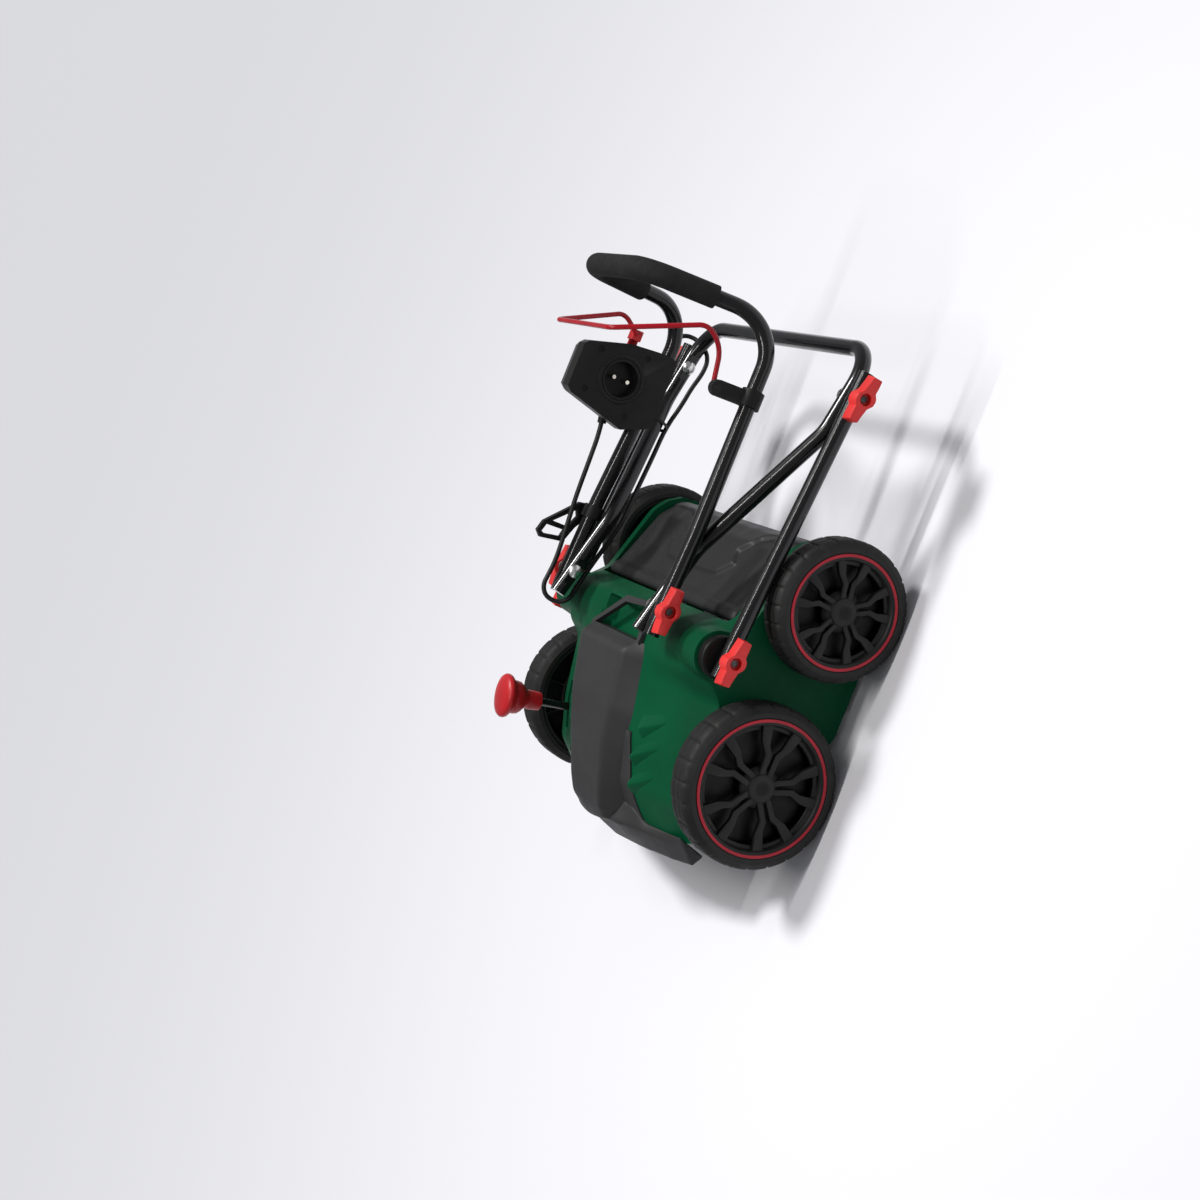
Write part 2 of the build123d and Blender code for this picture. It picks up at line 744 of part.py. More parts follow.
def leg_point(y):
    """Point of the +X upper leg's middle line."""
    return point_at_y(handle_half_route()[:3], y)


def upper_handle():
    half = handle_half_route()
    ends = [knee_bend_radius, top_bend_radius, main_bend_radius]
    radii = ends + ends[::-1]
    tube = bent_tube(mirrored_route(half), radii, tube_radius, tube_radius - tube_wall)
    plug = bar_between(half[0], point_on(half[0], half[1], 0.5), tube_radius - tube_wall + 0.2)
    cut = rod_x(bolt_radius + run_gap, leg_x - 30, leg_x + 30, upper_pivot)
    cut += end_cut(leg_flat_x, leg_flat_x + tube_radius, upper_pivot)
    for side in both_sides(plug):
        tube += side
    for side in both_sides(cut):
        tube -= side
    return tube


def handle_grip():
    """Soft sleeve over both arms and the cross part of the upper handle."""
    _, _, bend, corner = handle_half_route()
    start = point_on(bend, corner, (grip_start_z - bend[2]) / (corner[2] - bend[2]))
    radii = [main_bend_radius, main_bend_radius]
    return bent_tube(mirrored_route([start, corner]), radii, grip_radius, tube_radius + seat_gap)


# Switch box, bail and cable hook on the upper handle

def box_outline():
    return [(408, 340), (352, 340), (346, 333), (327, 254), (338, 226), (344, 216), (430, 216), (434, 222),
            (434, 243), (430, 280), (413, 335)]


def box_leg():
    """Room for the -X leg through the switch box."""
    ends = [(-x, y, z) for x, y, z in (leg_point(300), leg_point(460))]
    return bar_between(*ends, tube_radius + seat_gap)


def box_back_body(wall):
    """Rear half of the switch box as a full solid that narrows to its back, less a wall all round."""
    wide = offset_outline(box_outline(), -wall)
    narrow = [point_on(box_back_middle, point, box_back_share) for point in wide]
    sections = [outline_face(narrow, box_back_x + wall), outline_face(wide, box_split_x - seat_gap)]
    return loft(sections, ruled=True)


def switch_box_front():
    hollow = prism_x(offset_outline(box_outline(), -box_wall), box_split_x - 1, box_face_x - box_wall)
    box = prism_x(box_outline(), box_split_x, box_face_x) - hollow - box_leg()
    box -= rod_x(inlet_radius + seat_gap, box_split_x - 1, box_face_x + 1, inlet_center)
    for center in box_screw_centers:
        box += rod_x(box_screw_head_radius + 2, box_split_x, box_face_x - 1, center)
        box -= rod_x(box_screw_head_radius + part_gap, box_face_x - 3, box_face_x + 1, center)
        box -= rod_x(box_screw_radius + seat_gap, box_split_x - 1, box_face_x, center)
    return box


def switch_box_back():
    hollow = box_back_body(box_wall)
    box = box_back_body(0) - hollow - box_leg()
    box -= block((box_split_x - 20, 420, bail_slot[0]), (box_split_x + 5, 445, bail_slot[1]))
    box += rod_x(bail_radius, box_back_x + 1, box_split_x - 6, bail_pivot)
    box -= rod_x(button_radius + part_gap, box_back_x - 1, box_back_x + 8, button_center)
    inside, outside = lead_route()[:2]
    gland = bar_between(point_on(inside, outside, 0.2), point_on(inside, outside, 0.62), cable_radius + 2.5)
    box += gland - hollow
    return box - bar_between(point_on(inside, outside, -0.3), outside, cable_radius + seat_gap)


def box_screws():
    screws = []
    for center in box_screw_centers:
        head = rod_x(box_screw_head_radius, box_face_x - 2.9, box_face_x - 0.8, center)
        screws.append(head + rod_x(box_screw_radius, box_split_x + 1, box_face_x - 2.5, center))
    return screws


def mains_inlet():
    """Round cup that takes the extension lead's socket."""
    low = box_face_x - inlet_depth
    cup = rod_x(inlet_radius, low, box_face_x + 1, inlet_center)
    cup -= rod_x(inlet_radius - inlet_wall, low + inlet_wall, box_face_x + 2, inlet_center)
    for center in pin_centers():
        cup -= rod_x(pin_root_radius + run_gap, low - 1, low + inlet_wall + 1, center)
    return cup


def pin_centers():
    y, z = inlet_center
    return [(y, z - pin_pitch / 2), (y, z + pin_pitch / 2)]


def inlet_pins():
    """Contact pins that stand on the floor of the inlet on thinner roots."""
    low = box_face_x - inlet_depth
    shoulder = low + inlet_wall + part_gap
    pins = []
    for center in pin_centers():
        root = rod_x(pin_root_radius, low + 0.5, shoulder, center)
        pins.append(root + rod_x(pin_radius, shoulder, box_face_x - 1, center))
    return pins


def lock_button():
    body = rod_x(button_radius, box_back_x - 6, box_back_x + 4, button_center)
    return body + rod_x(button_radius + 3, box_back_x + box_wall + part_gap, box_back_x + 6, button_center)


def bail_bracket():
    """Clamp ring on the +X leg with an arm that carries one end of the bail."""
    center = leg_point(bracket_y)
    ends = [leg_point(bracket_y - 10), leg_point(bracket_y + 10)]
    ring = bar_between(*ends, tube_radius + 4)
    arm = rounds_hull(((bracket_y - 1, center[2]), bail_pivot), bail_radius + 6.5)
    ring += extrude(Plane.YZ.offset(center[0] - bracket_arm_width / 2) * arm, amount=bracket_arm_width)
    ring -= bar_between(leg_point(bracket_y - 30), leg_point(bracket_y + 30), tube_radius + seat_gap)
    return ring - rod_x(bail_radius + run_gap, 100, 160, bail_pivot)


def bail_points():
    """Middle line of the bail from its near pivot to its far end in the red lever."""
    y, z = bail_pivot
    low, bend, top = [(y + a, z + b) for a, b in bail_rise]
    near_pin = leg_point(bracket_y)[0] + bracket_arm_width / 2 - 1
    rise = [(bail_x, *low), (bail_x, *bend), (bail_cross_x, *top)]
    far = [(-x, py, pz) for x, py, pz in rise[::-1]]
    return [(near_pin, y, z), (bail_x, y, z)] + rise + far[:-1] + [(-bail_x, y + 44, z + 8)]


def bail():
    radii = [7, 40, 18, 14, 14, 18]
    return bent_tube(bail_points(), radii, bail_radius)


def bail_lever():
    """Red lever that joins the far end of the bail to its pivot inside the switch box."""
    y, z = bail_pivot
    arm = rounds_hull((bail_pivot, (y + 42, z + 5)), 2 * bail_radius)
    arm_low = bail_arm_x - bail_arm_width / 2
    lever = extrude(Plane.YZ.offset(arm_low) * arm, amount=bail_arm_width)
    lever += block((arm_low, y + 37, z + 1), (-bail_x + 5, y + 50, z + 13))
    lever -= rod_x(bail_radius + run_gap, arm_low - 5, arm_low + bail_arm_width + 5, bail_pivot)
    route_end, route_before = bail_points()[-1], bail_points()[-2]
    return lever - bar_between(route_end, route_before, bail_radius + run_gap)


def cable_hook():
    """Clip on the far leg with an open triangle that holds the extension lead."""
    y, z = hook_y, handle_half_route()[0][2]
    ring = rod_along_leg(y - 8, y + 8, tube_radius + hook_wall)
    outer = [(y + 9, z - 4), (y + 6, z + 12), (y - 32, z + 48), (y - 46, z + 52), (y - 53, z + 45),
             (y - 48, z + 14), (y - 26, z + 6), (y - 10, z - 4)]
    gap_tip = [(y - 35, z + 43), (y - 45, z + 46), (y - 47, z + 42), (y - 43, z + 20), (y - 34, z + 18)]
    gap_base = [(y - 28, z + 37), (y - 28, z + 15), (y - 12, z + 8), (y - 4, z + 12)]
    plate = prism_x(outer, *hook_x) - prism_x(gap_tip, hook_x[0] - 1, hook_x[1] + 1)
    plate -= prism_x(gap_base, hook_x[0] - 1, hook_x[1] + 1)
    return ring + plate - rod_along_leg(y - 60, y + 30, tube_radius + seat_gap)


def rod_along_leg(y_low, y_high, radius):
    """Round bar along the straight end of the -X upper leg."""
    tip, knee = handle_half_route()[:2]
    ends = [point_on(tip, knee, (y - tip[1]) / (knee[1] - tip[1])) for y in (y_low, y_high)]
    return bar_between(*[(-x, y, z) for x, y, z in ends], radius)


# Mains lead, held by the handle from the switch box to the deck

def over_leg(y, lift):
    """Place for the lead above the -X upper leg."""
    x, _, z = leg_point(y)
    return (1.5 - x, y, z + lead_off + lift)


def under_frame(y, drop, inward=0.0):
    """Place for the lead below the -X side of the middle frame."""
    x, _, z = point_at_y(frame_half_route(), y)
    return (inward - x, y, z - lead_off - drop)


def over_strut(y, lift):
    """Place for the lead above the -X strut."""
    share = (y - lower_pivot[0]) / (elbow_pivot[0] - lower_pivot[0])
    return (-strut_x, y, point_on(lower_pivot, elbow_pivot, share)[1] + lead_off + lift)


def lead_route():
    """Corners of the whole lead, from inside the switch box to inside the deck."""
    box_end = [(3.3 - leg_x, 342, 272), (3.3 - leg_x, 318, 267)]
    leg = [over_leg(276, 22), over_leg(232, 17.5), over_leg(190, 12), over_leg(150, 7), over_leg(128, 8)]
    tip_z = upper_pivot[1]
    fold = [(-frame_tip_x - 17, 113, tip_z + 23.5), (-frame_tip_x - 13.5, 101, tip_z + 16.5),
            (-frame_tip_x - 7, 98.5, tip_z + 1.5), (-frame_tip_x - 1.5, 107, tip_z - 10)]
    frame = [under_frame(124, 5), under_frame(142, 4), under_frame(176, 4), under_frame(217, 4.5),
             under_frame(258, 3), under_frame(315, 3.5), under_frame(357, 2.5)]
    frame += [under_frame(393, 2, 17.5), under_frame(417, 2, 16)]
    loop_z = elbow_pivot[1]
    elbow = [(17 - frame_x, 440, loop_z - 17), (11 - frame_x, 460, loop_z - 20),
             (-7 - frame_x, 475, loop_z - 16), (-20 - frame_x, 482, loop_z - 5),
             (-26 - frame_x, 481, loop_z + 9), (-24 - frame_x, 470, loop_z + 19), over_strut(450, 3.5)]
    strut = [over_strut(410, 1.4), over_strut(342, 0.8), over_strut(268, 0.8), over_strut(208, 1.6)]
    hole_x, hole_y = lead_hole
    deck = [over_strut(178, 3), (1.5 - strut_x, 163, 199), (6 - strut_x, 151.5, 208),
            (hole_x - 25, 147, 217.5), (hole_x - 10.6, hole_y, 217.5), (hole_x, hole_y, 207),
            (hole_x, hole_y, 190)]
    return box_end + leg + fold + frame + elbow + strut + deck


lead_stretches = {
    "upper_cable": (0, 5),
    "fold_cable": (5, 12),
    "frame_cable": (12, 19),
    "elbow_cable": (19, 27),
    "strut_cable": (27, 30),
    "deck_cable": (30, 37),
}


def lead_radii(points):
    """Largest arc that each corner of a route leaves room for."""
    radii = []
    for a, b, c in zip(points, points[1:], points[2:]):
        first, second = Vector(b) - Vector(a), Vector(c) - Vector(b)
        half_turn = math.radians(first.get_angle(second)) / 2
        radii.append(0.45 * min(first.length, second.length) / math.tan(half_turn))
    return radii


def lead(first, last):
    """One stretch of the lead, cut at the middle of a run at each end that meets another stretch."""
    route = lead_route()
    end = len(route) - 1
    inner_end = min(last, end - 1)
    radii = lead_radii(route)[first:inner_end]
    start = route[0] if first == 0 else point_on(route[first], route[first + 1], 0.5)
    stop = route[-1] if last == end else point_on(route[last], route[last + 1], 0.5)
    print("lead arcs", [round(r) for r in radii])
    return bent_tube([start] + route[first + 1:inner_end + 1] + [stop], radii, cable_radius)


# Assembly

def build():
    front = (0, front_wheel_radius)
    rear = (wheelbase, rear_wheel_radius)
    nodes = {
        "deck_shell": deck_shell(),
        "motor_bonnet": motor_bonnet(),
        "intake_surround": intake_surround(),
        "front_bumper": front_bumper(),
        "handle_bosses": handle_bosses(),
        "boss_bolts": boss_bolts(),
        "motor_housing": motor_housing(),
        "motor_shaft": motor_shaft(),
        "motor_fan": motor_fan(),
        "motor_pulley": pulley(motor_pulley_radius, motor_shaft_radius, motor_center),
        "drive_belt": drive_belt(),
        "roller_shaft": roller_shaft(),
        "roller_tines": roller_tines(),
        "roller_pulley": pulley(roller_pulley_radius, roller_shaft_radius, roller_center),
        "roller_bearings": roller_bearings(),
        "front_axle": front_axle(),
        "rear_axle": rear_axle(),
        "depth_lever": depth_lever(),
        "lever_knob": lever_knob(),
        "rear_flap": rear_flap(),
        "flap_hinge_pin": flap_hinge_pin(),
        "middle_frame": middle_frame(),
        "frame_bolts": frame_bolts(),
        "upper_handle": upper_handle(),
        "handle_grip": handle_grip(),
        "switch_box_front": switch_box_front(),
        "switch_box_back": switch_box_back(),
        "box_screws": box_screws(),
        "mains_inlet": mains_inlet(),
        "inlet_pins": inlet_pins(),
        "lock_button": lock_button(),
        "bail_bracket": bail_bracket(),
        "bail": bail(),
        "bail_lever": bail_lever(),
        "cable_hook": cable_hook(),
    }
    pairs = {
        "strut": lower_strut(),
        "front_rim": wheel_rim(front_wheel_radius, front),
        "front_tyre": wheel_tyre(front_wheel_radius, front),
        "rear_rim": wheel_rim(rear_wheel_radius, rear),
        "rear_tyre": wheel_tyre(rear_wheel_radius, rear),
        "boss_nut": wing_nut(strut_flat_x, lower_pivot, -5),
        "elbow_nut": wing_nut(strut_flat_x, elbow_pivot, -9),
        "upper_nut": wing_nut(leg_flat_x, upper_pivot, 0),
    }
    for name, (first, last) in lead_stretches.items():
        nodes[name] = lead(first, last)
    for name, shape in pairs.items():
        for side, piece in zip(("left", "right"), both_sides(shape)):
            nodes[f"{side}_{name}"] = piece
    return nodes


def as_compound(shape):
    pieces = shape if isinstance(shape, list) else [shape]
    solids = [solid for piece in pieces for solid in piece.solids()]
    return solids[0] if len(solids) == 1 else Compound(solids)


def main():
    shapes = {name: as_compound(shape) for name, shape in build().items()}
    boxes = [shape.bounding_box() for shape in shapes.values()]
    front_y = min(box.min.Y for box in boxes)
    rear_y = max(box.max.Y for box in boxes)
    low_z = min(box.min.Z for box in boxes)
    shift = Pos(0, -(front_y + rear_y) / 2, -low_z)
    print("origin moved by", -(front_y + rear_y) / 2, -low_z)
    os.makedirs("parts", exist_ok=True)
    for name, shape in shapes.items():
        export_step(shift * shape, f"parts/{name}.step")


main()
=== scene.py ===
import math

import bpy
from mathutils import Matrix, Vector


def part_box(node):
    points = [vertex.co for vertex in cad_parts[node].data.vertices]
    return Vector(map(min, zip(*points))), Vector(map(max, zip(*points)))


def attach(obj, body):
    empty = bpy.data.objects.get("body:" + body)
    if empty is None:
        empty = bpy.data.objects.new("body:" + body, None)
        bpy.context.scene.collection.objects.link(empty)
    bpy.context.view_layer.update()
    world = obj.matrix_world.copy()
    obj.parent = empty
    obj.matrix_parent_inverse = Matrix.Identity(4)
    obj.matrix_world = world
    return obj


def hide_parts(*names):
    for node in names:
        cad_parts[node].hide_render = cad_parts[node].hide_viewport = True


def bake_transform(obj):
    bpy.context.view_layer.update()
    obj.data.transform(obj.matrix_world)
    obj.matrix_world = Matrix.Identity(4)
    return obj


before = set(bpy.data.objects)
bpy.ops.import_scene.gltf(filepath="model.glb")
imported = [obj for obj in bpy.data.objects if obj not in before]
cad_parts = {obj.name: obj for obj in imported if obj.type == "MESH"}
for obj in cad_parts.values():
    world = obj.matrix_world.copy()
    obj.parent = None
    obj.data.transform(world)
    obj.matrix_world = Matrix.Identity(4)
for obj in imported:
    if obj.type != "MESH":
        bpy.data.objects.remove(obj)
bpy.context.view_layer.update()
print("frame loaded:", len(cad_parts), "nodes")

frontHub = sum(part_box("left_front_tyre"), Vector()) / 2  # middle of the near front wheel


def spot(x, y, z):  # millimetres from the front axle, ground at z = 0
    return Vector((x / 1000, frontHub.y + y / 1000, z / 1000))


# Ways of working shared by the pieces

def setMode(mode):
    bpy.ops.object.mode_set(mode=mode)


def editAll():
    setMode("EDIT")
    bpy.ops.mesh.select_all(action="SELECT")


def clearSelection():
    if bpy.context.mode != "OBJECT":
        setMode("OBJECT")
    bpy.ops.object.select_all(action="DESELECT")


def pick(piece):
    clearSelection()
    piece.select_set(True)
    bpy.context.view_layer.objects.active = piece


def newObject(name, data):
    holder = bpy.data.objects.new(name, data)
    bpy.context.scene.collection.objects.link(holder)
    return holder


def namePiece(name):
    piece = bpy.context.object
    piece.name = name
    piece.data.name = name
    return piece


def applyModifier(piece, kind, **settings):
    pick(piece)
    modifier = piece.modifiers.new(kind, kind)
    for key, value in settings.items():
        setattr(modifier, key, value)
    bpy.ops.object.modifier_apply(modifier=modifier.name)


def cleanMesh(piece, gap=0.00002):  # merge what meets, normals outwards
    pick(piece)
    editAll()
    bpy.ops.mesh.remove_doubles(threshold=gap)
    bpy.ops.mesh.normals_make_consistent(inside=False)
    setMode("OBJECT")


def startSelection(piece, kind):  # nothing selected, ready to choose in object mode
    pick(piece)
    setMode("EDIT")
    bpy.ops.mesh.select_mode(type=kind)
    bpy.ops.mesh.select_all(action="DESELECT")
    setMode("OBJECT")


def roundEdges(piece, width, steps=2, angle=35):
    applyModifier(piece, "BEVEL", width=width / 1000, segments=steps, limit_method="ANGLE",
                  angle_limit=math.radians(angle), use_clamp_overlap=True)


def joinPieces(main, *others):
    pick(main)
    for other in others:
        other.select_set(True)
    bpy.ops.object.join()
    return main


def gridPiece(name, rows):  # grid primitive with its points moved onto the rows
    clearSelection()
    across, along = len(rows[0]) - 1, len(rows) - 1
    bpy.ops.mesh.primitive_grid_add(x_subdivisions=across, y_subdivisions=along, size=2)
    piece = namePiece(name)
    for corner in piece.data.vertices:
        column = round((corner.co.x + 1) / 2 * across)
        row = round((corner.co.y + 1) / 2 * along)
        corner.co = rows[row][column]
    return piece


def turnedPiece(name, place, profile, steps):  # circle extruded ring by ring along (height, radius)
    clearSelection()
    height, radius = profile[0]
    bpy.ops.mesh.primitive_circle_add(vertices=steps, radius=radius / 1000, location=(0, 0, height / 1000))
    piece = namePiece(name)
    bpy.ops.object.transform_apply()
    editAll()
    for (height, radius), (nextHeight, nextRadius) in zip(profile, profile[1:]):
        rise = (nextHeight - height) / 1000
        bpy.ops.mesh.extrude_region_move(TRANSFORM_OT_translate={"value": (0, 0, rise)})
        grow = nextRadius / radius
        bpy.ops.transform.resize(value=(grow, grow, 1), center_override=(0, 0, nextHeight / 1000))
    setMode("OBJECT")
    cleanMesh(piece)
    piece.data.transform(place)
    return piece


def slabPiece(name, outline, low, high):  # flat outline in X and Y, extruded along Z, millimetres
    clearSelection()
    bpy.ops.mesh.primitive_circle_add(vertices=len(outline), radius=1, fill_type="NGON")
    piece = namePiece(name)
    for corner, (x, y) in zip(piece.data.vertices, outline):
        corner.co = (x / 1000, y / 1000, low / 1000)
    editAll()
    bpy.ops.mesh.extrude_region_move(TRANSFORM_OT_translate={"value": (0, 0, (high - low) / 1000)})
    setMode("OBJECT")
    cleanMesh(piece)
    return piece


def copyPiece(piece, name, place):
    copied = newObject(name, piece.data.copy())
    copied.data.name = name
    copied.data.transform(place)
    if place.determinant() < 0:
        copied.data.flip_normals()
    return copied


def softCopy(node, name, width, steps=2, angle=35):  # a node's shape with its edges rounded
    piece = newObject(name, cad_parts[node].data.copy())
    piece.data.name = name
    pick(piece)
    bpy.ops.mesh.customdata_custom_splitnormals_clear()
    cleanMesh(piece)
    editAll()
    bpy.ops.mesh.dissolve_limited(angle_limit=math.radians(1.5))
    setMode("OBJECT")
    roundEdges(piece, width, steps, angle)
    return piece


def dress(piece, body, finish, slotName, *replaced, angle=35, even=False):
    pick(piece)
    bpy.ops.object.shade_smooth_by_angle(angle=math.radians(angle))
    if even:  # big flats keep their shading flat
        applyModifier(piece, "WEIGHTED_NORMAL", keep_sharp=True, weight=80)
    piece.data.materials.clear()
    piece.data.materials.append(finish)
    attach(piece, body)
    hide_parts(*replaced)


sides = {"left": 1, "right": -1}  # way out along X


def outward(way):  # a turned piece's height laid along X
    return Matrix(((0, 0, way, 0), (1, 0, 0, 0), (0, 1, 0, 0), (0, 0, 0, 1)))


# Rounded lines for the moulded shells

def pointAlong(line, distance):  # runs on straight past both ends
    for start, end in zip(line, line[1:]):
        length = math.dist(start, end)
        if distance <= length or end is line[-1]:
            break
        distance -= length
    share = distance / length
    return [a + (b - a) * share for a, b in zip(start, end)]


spreadShares = [k / 3 for k in range(-3, 4)]  # of a radius, over which a line is averaged


def softPoint(line, distance, radius):
    spread = [pointAlong(line, distance + radius * share) for share in spreadShares]
    return [sum(values) / len(spread) for values in zip(*spread)]


def levelAt(line, y):  # height of a (y, z) line, level past its ends
    if y <= line[0][0]:
        return line[0][1]
    for (y0, z0), (y1, z1) in zip(line, line[1:]):
        if y <= y1:
            return z0 + (z1 - z0) * (y - y0) / (y1 - y0)
    return line[-1][1]


def softLevel(line, y, radius):
    return sum(levelAt(line, y + radius * share) for share in spreadShares) / len(spreadShares)


def stations(marks, step):  # places from mark to mark, about a step apart
    places = [marks[0]]
    for start, end in zip(marks, marks[1:]):
        count = max(1, round((end - start) / step))
        places += [start + (end - start) * (i + 1) / count for i in range(count)]
    return places


def easeStep(value):
    share = min(1, max(0, value))
    return share * share * (3 - 2 * share)


def edgeDistance(outline, x, y):  # distance to a closed outline, positive inside
    nearest = 1e9
    inside = False
    for (x0, y0), (x1, y1) in zip(outline, outline[1:] + outline[:1]):
        dx, dy = x1 - x0, y1 - y0
        share = min(1, max(0, ((x - x0) * dx + (y - y0) * dy) / (dx * dx + dy * dy)))
        nearest = min(nearest, math.hypot(x - x0 - share * dx, y - y0 - share * dy))
        if (y0 > y) != (y1 > y) and x < x0 + dx * (y - y0) / dy:
            inside = not inside
    return nearest if inside else -nearest


def closingRow(row, width, run, height):  # a row drawn on along Y and dropped to a height
    return [Vector((p.x * width, p.y + run / 1000, min(p.z, height / 1000))) for p in row]


def rowsBetween(start, end, count):
    return [[a.lerp(b, k / count) for a, b in zip(start, end)] for k in range(1, count)]


# Finishes

plainLook = {  # where a finish says nothing else
    "depth": 0.0002, "metal": 0, "coat": 0, "coatRough": 0.1, "scuffsToPatch": 4,
    # from and to where each noise, or the sharpness of an edge, takes effect
    "patchSpan": (0.35, 0.65), "wearSpan": (0.53, 0.62), "dustSpan": (0.55, 0.8), "scuffSpan": (0.3, 0.7),
}


def setInputs(node, values):
    for name, value in values.items():
        node.inputs[name].default_value = value


def surfaceFinish(name, ownLook):
    look = {**plainLook, **ownLook}
    finish = bpy.data.materials.new(name)
    finish.use_nodes = True
    tree = finish.node_tree
    link = tree.links.new
    shader = tree.nodes["Principled BSDF"]
    place = tree.nodes.new("ShaderNodeTexCoord").outputs["Object"]

    def noise(scale, detail):
        node = tree.nodes.new("ShaderNodeTexNoise")
        setInputs(node, {"Scale": scale, "Detail": detail})
        link(place, node.inputs["Vector"])
        return node.outputs["Fac"]

    def ramp(source, span, values):
        node = tree.nodes.new("ShaderNodeMapRange")
        setInputs(node, dict(zip(("From Min", "From Max", "To Min", "To Max"), (*span, *values))))
        link(source, node.inputs["Value"])
        return node.outputs["Result"]

    def blendColors(amount, first, second):
        node = tree.nodes.new("ShaderNodeMix")
        node.data_type = "RGBA"
        link(amount, node.inputs["Factor"])
        for socket, color in ((node.inputs["A"], first), (node.inputs["B"], second)):
            if isinstance(color, tuple):
                socket.default_value = (*color, 1)
            else:
                link(color, socket)
        return node.outputs["Result"]

    patches = noise(look["patchScale"], 4)
    color = blendColors(ramp(patches, look["patchSpan"], (0, 1)), look["color"], look["shade"])
    if "worn" in look:
        edges = tree.nodes.new("ShaderNodeNewGeometry").outputs["Pointiness"]
        color = blendColors(ramp(edges, look["wearSpan"], (0, look["wear"])), color, look["worn"])
    if "dust" in look:
        specks = noise(look["dustScale"], 6)
        color = blendColors(ramp(specks, look["dustSpan"], (0, look["dustAmount"])), color, look["dust"])
    link(color, shader.inputs["Base Color"])
    scuffs = noise(look["patchScale"] * look["scuffsToPatch"], 5)
    link(ramp(scuffs, look["scuffSpan"], look["rough"]), shader.inputs["Roughness"])
    bump = tree.nodes.new("ShaderNodeBump")
    setInputs(bump, {"Strength": look["bump"], "Distance": look["depth"]})
    link(noise(look["grain"], 3), bump.inputs["Height"])
    link(bump.outputs["Normal"], shader.inputs["Normal"])
    setInputs(shader, {"Metallic": look["metal"], "Specular IOR Level": look["gloss"],
                       "Coat Weight": look["coat"], "Coat Roughness": look["coatRough"]})
    return finish


deckGreen = surfaceFinish("deckGreen", {
    "color": (0.0007, 0.068, 0.026), "shade": (0.0006, 0.056, 0.0215), "patchScale": 9, "rough": (0.40, 0.52),
    "gloss": 0.08, "grain": 1400, "bump": 0.12, "worn": (0.006, 0.12, 0.055), "wear": 0.4,
    "dust": (0.01, 0.08, 0.04), "dustScale": 160, "dustAmount": 0.2})
coverGrey = surfaceFinish("coverGrey", {
    "color": (0.030, 0.030, 0.031), "shade": (0.025, 0.025, 0.026), "patchScale": 12, "rough": (0.48, 0.6),
    "gloss": 0.25, "grain": 1100, "bump": 0.25, "depth": 0.0003, "worn": (0.07, 0.07, 0.07), "wear": 0.4})
flapGrey = surfaceFinish("flapGrey", {
    "color": (0.018, 0.018, 0.018), "shade": (0.014, 0.014, 0.014), "patchScale": 10, "rough": (0.42, 0.55),
    "gloss": 0.25, "grain": 900, "bump": 0.25, "depth": 0.0003, "worn": (0.03, 0.03, 0.03), "wear": 0.12})
tubeBlack = surfaceFinish("tubeBlack", {
    "color": (0.006, 0.006, 0.0065), "shade": (0.004, 0.004, 0.0045), "patchScale": 20, "rough": (0.22, 0.28),
    "gloss": 0.22, "grain": 300, "bump": 0.004, "coat": 0.45, "coatRough": 0.08})
boxBlack = surfaceFinish("boxBlack", {
    "color": (0.006, 0.006, 0.006), "shade": (0.0045, 0.0045, 0.0045), "patchScale": 16,
    "rough": (0.42, 0.52), "gloss": 0.2, "grain": 1500, "bump": 0.25, "worn": (0.04, 0.04, 0.04),
    "wear": 0.5})
gripBlack = surfaceFinish("gripBlack", {
    "color": (0.013, 0.013, 0.013), "shade": (0.010, 0.010, 0.010), "patchScale": 30, "rough": (0.75, 0.9),
    "gloss": 0.2, "grain": 1800, "bump": 0.5, "depth": 0.0003})
redPlastic = surfaceFinish("redPlastic", {
    "color": (0.66, 0.030, 0.028), "shade": (0.56, 0.022, 0.022), "patchScale": 25, "rough": (0.38, 0.5),
    "gloss": 0.3, "grain": 1300, "bump": 0.2, "worn": (0.78, 0.10, 0.09), "wear": 0.5})
redPaint = surfaceFinish("redPaint", {
    "color": (0.36, 0.006, 0.014), "shade": (0.30, 0.005, 0.012), "patchScale": 30, "rough": (0.25, 0.35),
    "gloss": 0.2, "grain": 600, "bump": 0.02, "coat": 0.1, "coatRough": 0.15})
# a darker copy of the red plastic: painted shade on the knob, also used on the bail lever
redPlasticPaintedShade = surfaceFinish("redPlasticPaintedShade", {
    "color": (0.46, 0.012, 0.016), "shade": (0.38, 0.009, 0.013), "patchScale": 25, "rough": (0.3, 0.4),
    "gloss": 0.3, "grain": 1300, "bump": 0.1})
# darker steel for the bolt ends inside the nuts: painted shade
paintedShadeSteel = surfaceFinish("paintedShadeSteel", {
    "color": (0.10, 0.10, 0.10), "shade": (0.06, 0.06, 0.06), "patchScale": 60, "rough": (0.4, 0.55),
    "gloss": 0.4, "grain": 900, "bump": 0.2, "metal": 1})
ringRed = surfaceFinish("ringRed", {
    "color": (0.40, 0.010, 0.024), "shade": (0.33, 0.008, 0.020), "patchScale": 40, "rough": (0.4, 0.5),
    "gloss": 0.3, "grain": 900, "bump": 0.1})
zincBright = surfaceFinish("zincBright", {
    "color": (0.78, 0.78, 0.77), "shade": (0.64, 0.64, 0.63), "patchScale": 60, "rough": (0.24, 0.36),
    "gloss": 0.5, "grain": 900, "bump": 0.1, "metal": 1})
tineSteel = surfaceFinish("tineSteel", {
    "color": (0.42, 0.42, 0.41), "shade": (0.30, 0.29, 0.28), "patchScale": 35, "rough": (0.3, 0.5),
    "gloss": 0.5, "grain": 700, "bump": 0.25, "depth": 0.0003, "metal": 1, "dust": (0.2, 0.13, 0.08),
    "dustScale": 90, "dustAmount": 0.4})
